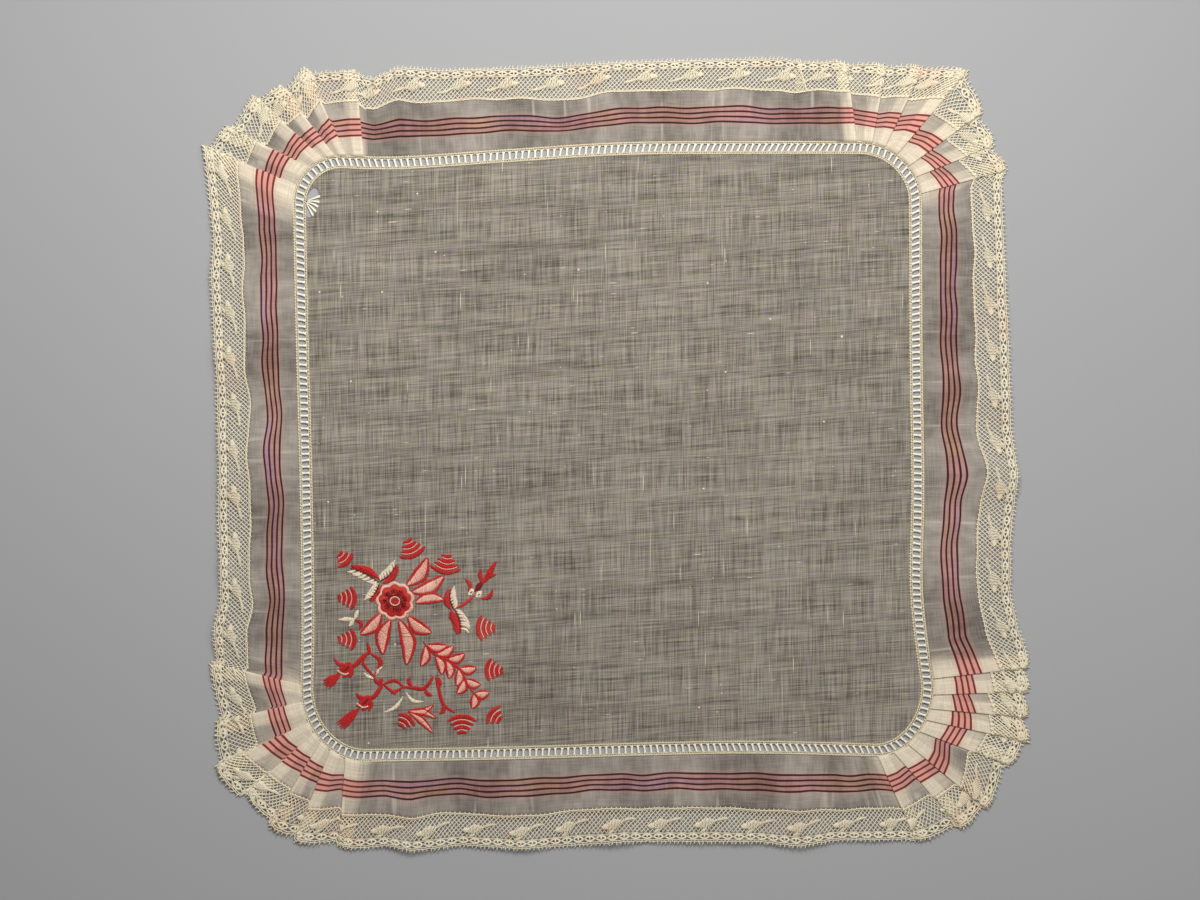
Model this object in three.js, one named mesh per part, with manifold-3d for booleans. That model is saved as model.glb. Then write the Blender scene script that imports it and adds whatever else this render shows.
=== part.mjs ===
// Linen handkerchief lying flat on a table: a sheer linen centre, a narrow ladder insertion round it,
// a striped lawn frill that is pleated round the corners, and a lace edging along the frill's outer edge.
// Millimetres, +Z up. The origin is on the table, under the middle of the whole handkerchief.

import * as THREE from "three";
import { mergeVertices } from "three/addons/utils/BufferGeometryUtils.js";
import Module from "manifold-3d";

// Driving dimensions
const CLOTH = 1.0; // thickness of each sheet
const SEAM_GAP = 0.3; // between two pieces that are sewn edge to edge
const LAYER_GAP = 0.3; // between the layers of one pleat
const LADDER_WIDTH = 4.8; // the insertion, from edge to edge
const FRILL_SHARE = 0.6; // the frill's share of the border's width; the lace has the rest
const FRILL_FOLD_SHARE = 0.3; // where an extra row of points lets the frill bend across its width
const RIM_STEP = 2.5; // how far the lace's edge steps in behind the tip of a pleat
const LACE_LAP = 4.5; // how far one end of the lace lies over the other
const LAP_STEP = 1.0; // how far before the lap that end has climbed on to the other

// Smoothness of the outlines
const SIDE_STEPS = 20;
const CORNER_STEPS = 12;
const PLAIN_STEP = 6; // the longest step along the border where it isn't pleated
const SEARCH_STEPS = 2400;

// The middle line of the insertion: four sides, clockwise, with a rounded corner after each.
// A side runs from `start` to `end` through its `bow` points, because the cloth isn't quite square.
const SIDES = [
  {
    name: "top",
    start: [-110, 117.4],
    bow: [[-86, 117], [-44, 119.8], [4, 122.7], [54, 123.1]],
    end: [97, 123.1],
    // Points of the border: the place along the side, the border's width and the height of its ripple
    ripples: [
      { at: -97, width: 32.5, lift: 0.2 },
      { at: -86, width: 36.6, lift: 1.6 },
      { at: -66, width: 34.4, lift: 0.2 },
      { at: -44, width: 33.4, lift: 0.8 },
      { at: -14, width: 33, lift: 0 },
      { at: 8, width: 33, lift: 0.9 },
      { at: 40, width: 33.6, lift: 0.2 },
      { at: 66, width: 34.2, lift: 0.6 },
      { at: 72, width: 33, lift: 0.2, lap: true },
      { at: 84, width: 32.4, lift: 0.7 },
    ],
  },
  {
    name: "right",
    start: [119.8, 101],
    bow: [[120, 42], [120.7, -14], [120.2, -55]],
    end: [124.6, -92],
    ripples: [
      { at: 88, width: 33.6, lift: 0.3 },
      { at: 68, width: 34.5, lift: 0.8 },
      { at: 42, width: 35.7, lift: 0.1 },
      { at: 26, width: 35.9, lift: 1 },
      { at: 10, width: 36.2, lift: 0 },
      { at: -8, width: 38.4, lift: 1.8 },
      { at: -20, width: 37.2, lift: 0.2 },
      { at: -34, width: 36, lift: 0.7 },
      { at: -58, width: 36, lift: 0.1 },
      { at: -74, width: 37.4, lift: 0.8 },
    ],
  },
  {
    name: "bottom",
    start: [104, -117.8],
    bow: [[45, -116.7], [-44, -119]],
    end: [-100, -120],
    ripples: [
      { at: 88, width: 35.2, lift: 0.1 },
      { at: 74, width: 38, lift: 1.5 },
      { at: 56, width: 36.3, lift: 0.2 },
      { at: 36, width: 36.4, lift: 0.9 },
      { at: 12, width: 35.6, lift: 0 },
      { at: 2, width: 35.6, lift: 1.1 },
      { at: -22, width: 36.6, lift: 0.1 },
      { at: -40, width: 37, lift: 0.7 },
      { at: -62, width: 35.1, lift: 0.1 },
      { at: -82, width: 37, lift: 1.3 },
      { at: -92, width: 34.6, lift: 0.1 },
    ],
  },
  {
    name: "left",
    start: [-123.6, -93],
    bow: [[-123.2, -60], [-124.1, -5], [-125.7, 55]],
    end: [-126.6, 100.5],
    ripples: [
      { at: -70, width: 36.3, lift: 1.2 },
      { at: -58, width: 33.7, lift: 0.1 },
      { at: -42, width: 33.2, lift: 0.9 },
      { at: -24, width: 34.2, lift: 0.1 },
      { at: -6, width: 33, lift: 0.8 },
      { at: 16, width: 33.4, lift: 0 },
      { at: 36, width: 33, lift: 1.1 },
      { at: 54, width: 34, lift: 0.1 },
      { at: 72, width: 34.4, lift: 0.6 },
      { at: 88, width: 33, lift: 0.2 },
    ],
  },
];

// The pleats after each side, clockwise, as all their fold edges point. Angles are degrees from +X about the
// corner's centre: `seam` where the fold meets the insertion, `rim` where it meets the lace's edge. `reach`
// is the distance from the centre to the tip of the fold. `step` is how far the lace's edge steps in behind
// the tip, where that isn't RIM_STEP.
const CORNERS = [
  {
    name: "upper right",
    centre: [99.8, 103.2],
    pleats: [
      { seam: 99, rim: 98, reach: 54.8 },
      { seam: 83, rim: 81, reach: 54 },
      { seam: 69, rim: 66, reach: 57.7 },
      { seam: 54, rim: 51, reach: 66 },
      { seam: 36, rim: 36, reach: 58.5 },
      { seam: 22, rim: 22, reach: 56.5 },
      { seam: 4, rim: 11, reach: 58.5 },
    ],
  },
  {
    name: "lower right",
    centre: [105.4, -98.6],
    pleats: [
      { seam: 24, rim: 13, reach: 61.8 },
      { seam: 8, rim: 4, reach: 60.5 },
      { seam: -7, rim: -6, reach: 60 },
      { seam: -21, rim: -15, reach: 62.6 },
      { seam: -36, rim: -26, reach: 58.8 },
      { seam: -56, rim: -45, reach: 61.6 },
      { seam: -74, rim: -57, reach: 61.5 },
      { seam: -92, rim: -75, reach: 58.6 },
    ],
  },
  {
    name: "lower left",
    centre: [-102.6, -98.6],
    pleats: [
      { seam: -104, rim: -98, reach: 59.5 },
      { seam: -121, rim: -115, reach: 62.6 },
      { seam: -134, rim: -126, reach: 62.6 },
      { seam: -146, rim: -141, reach: 59, step: -3 },
      { seam: -158, rim: -156, reach: 63.9 },
      { seam: -180, rim: -172, reach: 58.5 },
      { seam: -196, rim: -195, reach: 62.4 },
    ],
  },
  {
    name: "upper left",
    centre: [-109.8, 100.4],
    pleats: [
      { seam: 157, rim: 157, reach: 60.7 },
      { seam: 131, rim: 146, reach: 56.5 },
      { seam: 112, rim: 129, reach: 56.8 },
      { seam: 98, rim: 117, reach: 54 },
      { seam: 84, rim: 105, reach: 57.6 },
      { seam: 65, rim: 84, reach: 54.4 },
    ],
  },
];

// The worn hole beside the insertion in the upper left corner: a narrow half moon in the linen's edge
const HOLE = { centre: [-121.6, 101.2], halfWidth: 2.6, halfLength: 6.2, lean: -14 };

// Section of a pleat
const LAYER_STEP = CLOTH + LAYER_GAP;
const LOW_LAYER = CLOTH / 2;
const FOLD_RADIUS = LAYER_STEP / 2; // of the cloth's middle, where it turns back on itself
const FOLD_TURN = [90, 45, 0, -45, -90]; // degrees round a fold edge
const RISE_START = 0.6; // past the fold before, where the cloth starts to rise
const LONGEST_RISE = 6.0; // on the first pleat of a corner
const FLAT_PARTS = [0.3, 0.65]; // points on the flat cloth before that rise
const FOLD_ROOM = 3.0; // what a pleat needs beside the part that is tucked under
const TUCK_SHARE = 0.5; // the most of a pleat's pitch that is tucked under
const LONGEST_TUCK = 4.5;
const SHORTEST_TUCK = 1.3;

const wasm = await Module();
wasm.setup();

const vector = ([x, y]) => new THREE.Vector2(x, y);
const mix = THREE.MathUtils.lerp;

// The middle line of the insertion, as one closed path

const CORNER_HANDLE = 0.55; // makes a cubic curve nearly a quarter circle

function sideCurve(side) {
  return new THREE.SplineCurve([side.start, ...side.bow, side.end].map(vector));
}

function cornerCurve(side, index) {
  const from = vector(side.end);
  const to = vector(SIDES[(index + 1) % SIDES.length].start);
  const alongX = index % 2 === 0; // the top and the bottom run along X
  const sharp = alongX ? new THREE.Vector2(to.x, from.y) : new THREE.Vector2(from.x, to.y);
  const firstHandle = from.clone().lerp(sharp, CORNER_HANDLE);
  const lastHandle = to.clone().lerp(sharp, CORNER_HANDLE);
  return new THREE.CubicBezierCurve(from, firstHandle, lastHandle, to);
}

const ladderLine = new THREE.CurvePath();
SIDES.forEach((side, index) => {
  ladderLine.add(sideCurve(side));
  ladderLine.add(cornerCurve(side, index));
});

// A point beside the insertion's middle line, at a share of the way round and a distance outwards
function besideLadder(share, out) {
  const round = ((share % 1) + 1) % 1;
  const tangent = ladderLine.getTangent(round);
  const point = ladderLine.getPoint(round);
  return point.add(new THREE.Vector2(-tangent.y, tangent.x).multiplyScalar(out));
}

const SEAM_OUT = LADDER_WIDTH / 2 + SEAM_GAP; // from the middle line to the frill's inner edge
const seamLine = Array.from({ length: SEARCH_STEPS }, (_, i) => besideLadder(i / SEARCH_STEPS, SEAM_OUT));

// The share of the way round at which a measure of the seam's points is least
function shareWhere(measure) {
  const sizes = seamLine.map(measure);
  return sizes.indexOf(Math.min(...sizes)) / SEARCH_STEPS;
}

// The border's stations, clockwise: ripples along the sides and fold edges round the corners

function rippleStation(side, sideIndex, ripple) {
  const along = sideIndex % 2 === 0 ? "x" : "y";
  const across = along === "x" ? "y" : "x";
  const half = Math.sign(vector(side.start)[across]);
  const share = shareWhere((p) => (p[across] * half > 0 ? Math.abs(p[along] - ripple.at) : Infinity));
  const rim = besideLadder(share, SEAM_OUT + ripple.width);
  return { share, rim, lift: ripple.lift, lap: Boolean(ripple.lap), fold: false, step: 0 };
}

function foldStation(corner, pleat) {
  const centre = vector(corner.centre);
  const seamAngle = THREE.MathUtils.degToRad(pleat.seam);
  const rimAngle = THREE.MathUtils.degToRad(pleat.rim);
  const ray = new THREE.Vector2(Math.cos(seamAngle), Math.sin(seamAngle));
  const share = shareWhere((p) => p.clone().sub(centre).normalize().distanceTo(ray));
  const toTip = new THREE.Vector2(Math.cos(rimAngle), Math.sin(rimAngle)).multiplyScalar(pleat.reach);
  const step = pleat.step ?? RIM_STEP;
  return { share, rim: centre.clone().add(toTip), lift: 0, lap: false, fold: true, step };
}

const stations = SIDES.flatMap((side, index) => [
  ...side.ripples.map((ripple) => rippleStation(side, index, ripple)),
  ...CORNERS[index].pleats.map((pleat) => foldStation(CORNERS[index], pleat)),
]);

// Section of one pleat, from the fold edge before it to its own fold edge and back under it

function tuckOf(pitch) {
  const most = Math.min(TUCK_SHARE * pitch, pitch - FOLD_ROOM, LONGEST_TUCK);
  return Math.max(most, SHORTEST_TUCK);
}

// The cloth's two faces at one point of its middle: `along` from the station before, `height` from the table
function faces(along, height, degrees) {
  const angle = THREE.MathUtils.degToRad(degrees);
  const half = CLOTH / 2;
  const aside = Math.cos(angle) * half;
  const up = Math.sin(angle) * half;
  return [
    { along: along + aside, height: height + up },
    { along: along - aside, height: height - up },
  ];
}

function pleatSection(pitch, foldBefore) {
  const tuck = tuckOf(pitch);
  const middle = LOW_LAYER + LAYER_STEP;
  const high = middle + LAYER_STEP;
  const riseEnd = pitch - tuck - 2 * FOLD_RADIUS;
  const riseStart = foldBefore ? RISE_START : Math.max(RISE_START, riseEnd - LONGEST_RISE);
  const slope = THREE.MathUtils.radToDeg(Math.atan2(high - LOW_LAYER, riseEnd - riseStart));
  const bend = 90 + slope / 2; // the cloth's normal at the two bends of the rise
  const edge = pitch - FOLD_RADIUS;
  const root = pitch - tuck;
  const fold = FOLD_TURN.map((degrees) => {
    const angle = THREE.MathUtils.degToRad(degrees);
    const along = edge + FOLD_RADIUS * Math.cos(angle);
    return faces(along, middle + FOLD_RADIUS * (1 + Math.sin(angle)), degrees);
  });
  const valley = FOLD_TURN.map((degrees) => {
    const angle = THREE.MathUtils.degToRad(180 - degrees);
    const along = root + FOLD_RADIUS * Math.cos(angle);
    return faces(along, LOW_LAYER + FOLD_RADIUS * (1 + Math.sin(angle)), -degrees);
  });
  const flat = foldBefore ? [] : FLAT_PARTS.map((part) => faces(riseStart * part, LOW_LAYER, 90));
  return [...flat, faces(riseStart, LOW_LAYER, bend), faces(riseEnd, high, bend), ...fold, ...valley];
}

// Columns of the border: each has an upper and a lower line, from the seam to the lace's edge

function pulledIn(station) {
  const seam = besideLadder(station.share, SEAM_OUT);
  const length = station.rim.distanceTo(seam);
  return station.rim.clone().lerp(seam, station.step / length);
}

function lineBetween(before, after, seamShare, rimShare, seamHeight, rimHeight) {
  const seam = besideLadder(mix(before.share, after.share, seamShare), SEAM_OUT);
  const rim = pulledIn(before).lerp(after.rim, rimShare);
  return {
    seam: new THREE.Vector3(seam.x, seam.y, seamHeight),
    rim: new THREE.Vector3(rim.x, rim.y, rimHeight),
  };
}

function plainColumn(before, after, part) {
  const lift = mix(before.lift, after.lift, THREE.MathUtils.smoothstep(part, 0, 1));
  const upper = lineBetween(before, after, part, part, CLOTH, CLOTH + lift);
  const lower = lineBetween(before, after, part, part, 0, lift);
  return { upper, lower, lap: after.lap && part === 1 };
}

function plainColumns(before, after) {
  const steps = Math.ceil(((after.share - before.share) * ladderLine.getLength()) / PLAIN_STEP);
  const first = before.fold ? 0 : 1; // one more under the fold edge before
  return Array.from({ length: steps + 1 - first }, (_, k) => plainColumn(before, after, (k + first) / steps));
}

function pleatColumns(before, after) {
  const seamPitch = (after.share - before.share) * ladderLine.getLength();
  const rimPitch = pulledIn(before).distanceTo(after.rim);
  const seamSection = pleatSection(seamPitch, before.fold);
  const rimSection = pleatSection(rimPitch, before.fold);
  return seamSection.map((seamFaces, i) => {
    const [upper, lower] = seamFaces.map((seamFace, side) => {
      const rimFace = rimSection[i][side];
      const seamShare = seamFace.along / seamPitch;
      const rimShare = rimFace.along / rimPitch;
      return lineBetween(before, after, seamShare, rimShare, seamFace.height, rimFace.height);
    });
    return { upper, lower, lap: false };
  });
}

const columns = stations.flatMap((station, i) => {
  const before = stations[(i + stations.length - 1) % stations.length];
  const pastStart = station.share < before.share; // the share starts again from nothing in the upper left
  const after = { ...station, share: station.share + (pastStart ? 1 : 0) };
  return after.fold ? pleatColumns(before, after) : plainColumns(before, after);
});

// Sheets that follow the border's columns between two shares of its width

function sheetGeometry(sheetColumns, shares, closed) {
  const rows = shares.length;
  const positions = [];
  const index = [];
  for (const column of sheetColumns) {
    for (const line of [column.upper, column.lower]) {
      for (const share of shares) positions.push(...line.seam.clone().lerp(line.rim, share).toArray());
    }
  }
  const count = sheetColumns.length;
  const upper = (k, j) => (k % count) * 2 * rows + j;
  const lower = (k, j) => upper(k, j) + rows;
  const quad = (a, b, c, d) => index.push(a, b, c, a, c, d);
  const spans = closed ? count : count - 1;
  const rim = rows - 1;
  for (let k = 0; k < spans; k++) {
    for (let j = 0; j < rim; j++) {
      quad(upper(k, j), upper(k + 1, j), upper(k + 1, j + 1), upper(k, j + 1));
      quad(lower(k, j), lower(k, j + 1), lower(k + 1, j + 1), lower(k + 1, j));
    }
    quad(lower(k, 0), lower(k + 1, 0), upper(k + 1, 0), upper(k, 0));
    quad(upper(k, rim), upper(k + 1, rim), lower(k + 1, rim), lower(k, rim));
  }
  if (!closed) {
    const end = count - 1;
    for (let j = 0; j < rim; j++) {
      quad(lower(0, j), upper(0, j), upper(0, j + 1), lower(0, j + 1));
      quad(upper(end, j), lower(end, j), lower(end, j + 1), upper(end, j + 1));
    }
  }
  const geometry = new THREE.BufferGeometry();
  geometry.setAttribute("position", new THREE.Float32BufferAttribute(positions, 3));
  geometry.setIndex(index);
  geometry.computeVertexNormals();
  return geometry;
}

function frillGeometry() {
  const gapShare = SEAM_GAP / SIDES[0].ripples[0].width;
  return sheetGeometry(columns, [0, FRILL_FOLD_SHARE, FRILL_SHARE - gapShare], true);
}

// The lace is one length: it starts at the lap, goes right round and ends on top of its own start.
function laceGeometry() {
  const start = columns.findIndex((column) => column.lap);
  const round = [...columns.slice(start), ...columns.slice(0, start)];
  const lapStation = stations.find((station) => station.lap);
  const width = lapStation.rim.distanceTo(besideLadder(lapStation.share, SEAM_OUT));
  const lapped = [-LAP_STEP, LACE_LAP].map((offset) => {
    const share = lapStation.share + offset / ladderLine.getLength();
    const place = { ...lapStation, share, rim: besideLadder(share, SEAM_OUT + width), lift: LAYER_STEP };
    const column = plainColumn(place, place, 1);
    column.upper.seam.z += LAYER_STEP;
    column.lower.seam.z += LAYER_STEP;
    return column;
  });
  return sheetGeometry([...round, ...lapped], [FRILL_SHARE, 1], false);
}

// Flat pieces inside the frill

function outline(out) {
  const ends = [0, ...ladderLine.getCurveLengths()].map((length) => length / ladderLine.getLength());
  return ladderLine.curves.flatMap((_, i) => {
    const steps = i % 2 === 0 ? SIDE_STEPS : CORNER_STEPS; // sides and corners take turns
    return Array.from({ length: steps }, (_, k) => besideLadder(mix(ends[i], ends[i + 1], k / steps), out));
  });
}

function slab(out, depth) {
  return new THREE.ExtrudeGeometry(new THREE.Shape(outline(out)), { depth, bevelEnabled: false });
}

function solidOf(geometry) {
  const bare = geometry.clone();
  bare.deleteAttribute("normal");
  bare.deleteAttribute("uv");
  const merged = mergeVertices(bare);
  const vertProperties = new Float32Array(merged.attributes.position.array);
  const triVerts = new Uint32Array(merged.index.array);
  return new wasm.Manifold(new wasm.Mesh({ numProp: 3, vertProperties, triVerts }));
}

function geometryOf(solid) {
  const mesh = solid.getMesh();
  const geometry = new THREE.BufferGeometry();
  geometry.setAttribute("position", new THREE.BufferAttribute(mesh.vertProperties, 3));
  geometry.setIndex(new THREE.BufferAttribute(mesh.triVerts, 1));
  geometry.computeVertexNormals();
  return geometry;
}

function ladderGeometry() {
  const middle = slab(-LADDER_WIDTH / 2, 4 * CLOTH).translate(0, 0, -CLOTH);
  return geometryOf(solidOf(slab(LADDER_WIDTH / 2, CLOTH)).subtract(solidOf(middle)));
}

function panelGeometry() {
  const panel = slab(-SEAM_OUT, CLOTH);
  const cutter = new THREE.CylinderGeometry(1, 1, 4 * CLOTH, 20);
  cutter.rotateX(Math.PI / 2);
  cutter.scale(HOLE.halfWidth, HOLE.halfLength, 1);
  cutter.rotateZ(THREE.MathUtils.degToRad(HOLE.lean));
  cutter.translate(...HOLE.centre, CLOTH / 2);
  return geometryOf(solidOf(panel).subtract(solidOf(cutter)));
}

// The handkerchief

function piece(name, geometry, colour, roughness) {
  const material = new THREE.MeshStandardMaterial({ color: colour, roughness, metalness: 0 });
  const mesh = new THREE.Mesh(geometry, material);
  mesh.name = name;
  return mesh;
}

const handkerchief = new THREE.Group();
handkerchief.add(
  piece("linen_panel", panelGeometry(), 0xa29d92, 0.9),
  piece("ladder_insertion", ladderGeometry(), 0xded3ba, 0.85),
  piece("striped_frill", frillGeometry(), 0xc4a9a0, 0.9),
  piece("lace_edging", laceGeometry(), 0xd8ccb0, 0.85),
);

const middle = new THREE.Box3().setFromObject(handkerchief).getCenter(new THREE.Vector3());
handkerchief.position.set(-middle.x, -middle.y, 0);

export default handkerchief;
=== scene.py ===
# %% [markdown]
# # A linen handkerchief, laid flat
# The real thing is a square of sheer linen inside a narrow ladder of drawn threads, with a striped frill
# that is pleated round the corners, lace on the frill's edge and embroidery in one corner. Everything is
# placed in the frame that the solids were packed in, so the first step is to load it and keep its box.

# %% Load the frame
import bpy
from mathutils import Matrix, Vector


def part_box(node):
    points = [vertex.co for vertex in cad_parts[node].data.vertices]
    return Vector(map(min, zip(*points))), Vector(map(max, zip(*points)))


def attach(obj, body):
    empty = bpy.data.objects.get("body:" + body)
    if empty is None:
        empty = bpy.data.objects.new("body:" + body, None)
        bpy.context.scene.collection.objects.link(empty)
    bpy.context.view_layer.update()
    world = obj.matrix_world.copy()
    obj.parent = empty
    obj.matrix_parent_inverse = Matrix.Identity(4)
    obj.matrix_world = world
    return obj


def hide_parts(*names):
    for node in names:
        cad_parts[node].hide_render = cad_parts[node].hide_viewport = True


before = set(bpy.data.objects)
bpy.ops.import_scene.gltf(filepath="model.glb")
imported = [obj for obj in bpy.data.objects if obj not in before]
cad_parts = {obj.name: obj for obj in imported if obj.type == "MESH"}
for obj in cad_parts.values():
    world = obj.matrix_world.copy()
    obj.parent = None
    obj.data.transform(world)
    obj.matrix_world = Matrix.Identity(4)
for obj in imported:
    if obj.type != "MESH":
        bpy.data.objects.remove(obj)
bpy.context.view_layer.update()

import bpy
import numpy as np
from mathutils import Vector

MM = 0.001
bpy.ops.object.select_all(action="DESELECT")

# %% [markdown]
# ## The drawn line of the ladder
# All the pieces follow one line: the middle of the ladder insertion. It has four nearly straight sides that
# bow a little, and rounded corners. A smooth line through a few points gives each side, and a cubic curve
# each corner. The sizes are millimetres, measured from the middle of the handkerchief, as a maker would
# write them on a pattern.

# %% Lines and directions
ROUNDING = 0.55  # makes a cubic curve nearly a quarter circle


def smooth_line(points, steps=60):
    p = np.array(points, float)
    t = np.linspace(0, 1, steps, endpoint=False)[:, None]
    spans = []
    for i in range(len(p) - 1):
        into = (p[i + 1] - p[max(i - 1, 0)]) / 2
        out = (p[min(i + 2, len(p) - 1)] - p[i]) / 2
        cube = 2 * p[i] - 2 * p[i + 1] + into + out
        square = -3 * p[i] + 3 * p[i + 1] - 2 * into - out
        spans.append(cube * t**3 + square * t**2 + into * t + p[i])
    return np.vstack(spans)


def rounded_corner(start, end, along_x, steps=80):
    a, d = np.array(start, float), np.array(end, float)
    sharp = np.array([d[0], a[1]]) if along_x else np.array([a[0], d[1]])
    b, c = a + (sharp - a) * ROUNDING, d + (sharp - d) * ROUNDING
    t = np.linspace(0, 1, steps, endpoint=False)[:, None]
    return a * (1 - t) ** 3 + 3 * b * t * (1 - t) ** 2 + 3 * c * t**2 * (1 - t) + d * t**3


def unit(vectors):
    return vectors / np.maximum(np.linalg.norm(vectors, axis=-1, keepdims=True), 1e-9)


def left_of(vectors):
    return np.stack([-vectors[..., 1], vectors[..., 0]], axis=-1)


def distances(line):
    """How far along a line each of its points is."""
    return np.concatenate([[0], np.cumsum(np.linalg.norm(np.diff(line, axis=0), axis=1))])


def read_off(where, at, rows):
    """A row for each place, worked out between the places where the rows are known."""
    return np.stack([np.interp(where, at, column) for column in rows.T], axis=-1)


print("a smooth line through three points has", len(smooth_line([(0, 0), (1, 1), (2, 0)])), "points")

# %% The ladder's middle line
SIDES = [  # clockwise from the upper left
    [(-110, 117.4), (-86, 117), (-44, 119.8), (4, 122.7), (54, 123.1), (97, 123.1)],
    [(119.8, 101), (120, 42), (120.7, -14), (120.2, -55), (124.6, -92)],
    [(104, -117.8), (45, -116.7), (-44, -119), (-100, -120)],
    [(-123.6, -93), (-123.2, -60), (-124.1, -5), (-125.7, 55), (-126.6, 100.5)],
]
LADDER = 4.8  # width of the insertion

ladder_line = []
for i, side in enumerate(SIDES):
    ladder_line.append(smooth_line(side))
    ladder_line.append(rounded_corner(side[-1], SIDES[(i + 1) % 4][0], along_x=i % 2 == 0))
ladder_line = np.vstack(ladder_line)
outwards = left_of(unit(np.roll(ladder_line, -1, axis=0) - np.roll(ladder_line, 1, axis=0)))
ladder_line, outwards = (np.vstack([rows, rows[:1]]) for rows in (ladder_line, outwards))  # closed
ladder_at = distances(ladder_line)
ROUND = ladder_at[-1]  # the length of the whole line


def beside_ladder(along, out):
    """Points at a distance along the ladder's middle line, and a distance out from it."""
    at = np.mod(along, ROUND)
    aside = read_off(at, ladder_at, outwards)
    return read_off(at, ladder_at, ladder_line) + aside * np.asarray(out)[..., None]


edge = beside_ladder(np.linspace(0, ROUND, 2000), LADDER / 2)
SHIFT = np.array(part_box("ladder_insertion")[0])[:2] / MM - edge.min(axis=0)  # from the drawing to the frame
print(f"ladder line {ROUND:.0f} mm long, drawing moved by {SHIFT.round(2)} mm")

# %% [markdown]
# ## Camera, light and floor
# The handkerchief was photographed from straight above. A camera with no rotation looks down and has +Y at
# the top of its picture, so it only needs a height and a lens that shows 480 mm of cloth across the frame.
# One soft light hangs beyond the upper edge, so the cloth is brightest there and the pleats cast soft
# shadows. A broad weak one fills from the right.

# %% Camera, light and floor
FRAME_WIDTH = 480  # mm of cloth across the picture
CAMERA_HEIGHT = 1.5
CAMERA_ASIDE = np.array([-6.4, 2.2]) + SHIFT

bpy.ops.object.camera_add(location=(*(CAMERA_ASIDE * MM), CAMERA_HEIGHT))
camera = bpy.context.object
camera.data.lens = camera.data.sensor_width * CAMERA_HEIGHT / (FRAME_WIDTH * MM)
camera.data.clip_end = 20
bpy.context.scene.camera = camera


def soft_light(name, place, aim, size, power, colour):
    bpy.ops.object.light_add(type="AREA", location=place)
    light = bpy.context.object
    light.name = name
    light.data.size = size
    light.data.energy = power
    light.data.color = colour
    light.rotation_euler = (Vector(aim) - Vector(place)).to_track_quat("-Z", "Y").to_euler()


soft_light("key_light", place=(0, 0.36, 0.55), aim=(0, 0.02, 0), size=0.3, power=4, colour=(1, 0.97, 0.93))
soft_light("fill_light", place=(1.1, 0.3, 1.4), aim=(0, 0, 0), size=1.2, power=8, colour=(1, 0.98, 0.95))
world = bpy.data.worlds.new("studio")
bpy.context.scene.world = world
world.use_nodes = True
background = world.node_tree.nodes["Background"]
background.inputs["Color"].default_value = (1, 0.98, 0.95, 1)
background.inputs["Strength"].default_value = 0.19
bpy.context.scene.view_settings.view_transform = "Standard"

bpy.ops.mesh.primitive_plane_add(size=6, location=(0, 0, -0.0001))
floor = bpy.context.object
floor.name = "floor"
print("camera", [round(x, 3) for x in camera.location], "lens", round(camera.data.lens))

# %% [markdown]
# ## How the border lies
# The frill and its lace are one long strip. Along the sides it ripples a little. Round each corner it is
# folded into pleats, each turned over the next. Cloth simulation would lose the pressed folds, so they are
# drawn instead, from two tables that have a row for each ripple and each fold edge. Places and angles are
# measured on the photograph, and heights are guesses.

# %% Ripples along the sides
# For each side: place along it, width of the border, height of the ripple, sway of the stripes outwards.
RIPPLES = [
    [(-97, 32.5, 0.2, -1.0), (-86, 36.6, 1.6, 0.5), (-66, 34.4, 0.2, 0.2), (-44, 33.4, 0.8, 0),
     (-14, 33, 0, -1.5), (8, 33, 0.9, 0.9), (40, 33.6, 0.2, 0.3), (66, 34.2, 0.6, 0.2), (72, 33, 0.2, 0),
     (84, 32.4, 0.7, 0.3)],
    [(88, 33.6, 0.3, 0), (68, 34.5, 0.8, 0.3), (42, 35.7, 0.1, -0.6), (26, 35.9, 1, 0.6),
     (10, 36.2, 0, -0.2), (-8, 38.4, 1.8, 1.6), (-20, 37.2, 0.2, 0.4), (-34, 36, 0.7, -0.3),
     (-58, 36, 0.1, 0), (-74, 37.4, 0.8, 1.2)],
    [(88, 35.2, 0.1, 0.2), (74, 38, 1.5, 0.7), (56, 36.3, 0.2, 0), (36, 36.4, 0.9, -0.4),
     (12, 35.6, 0, 0.2), (2, 35.6, 1.1, -1.4), (-22, 36.6, 0.1, 0), (-40, 37, 0.7, 0.4),
     (-62, 35.1, 0.1, 0), (-82, 37, 1.3, 0.3), (-92, 34.6, 0.1, 0)],
    [(-70, 36.3, 1.2, 0.5), (-58, 33.7, 0.1, -0.7), (-42, 33.2, 0.9, 0.6), (-24, 34.2, 0.1, -0.6),
     (-6, 33, 0.8, 0.7), (16, 33.4, 0, -0.7), (36, 33, 1.1, 0.7), (54, 34, 0.1, -0.5), (72, 34.4, 0.6, 0.3),
     (88, 33, 0.2, 0)],
]
print(sum(map(len, RIPPLES)), "ripples")

# %% Pleats round the corners
CORNER_CENTRES = [(99.8, 103.2), (105.4, -98.6), (-102.6, -98.6), (-109.8, 100.4)]
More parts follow.
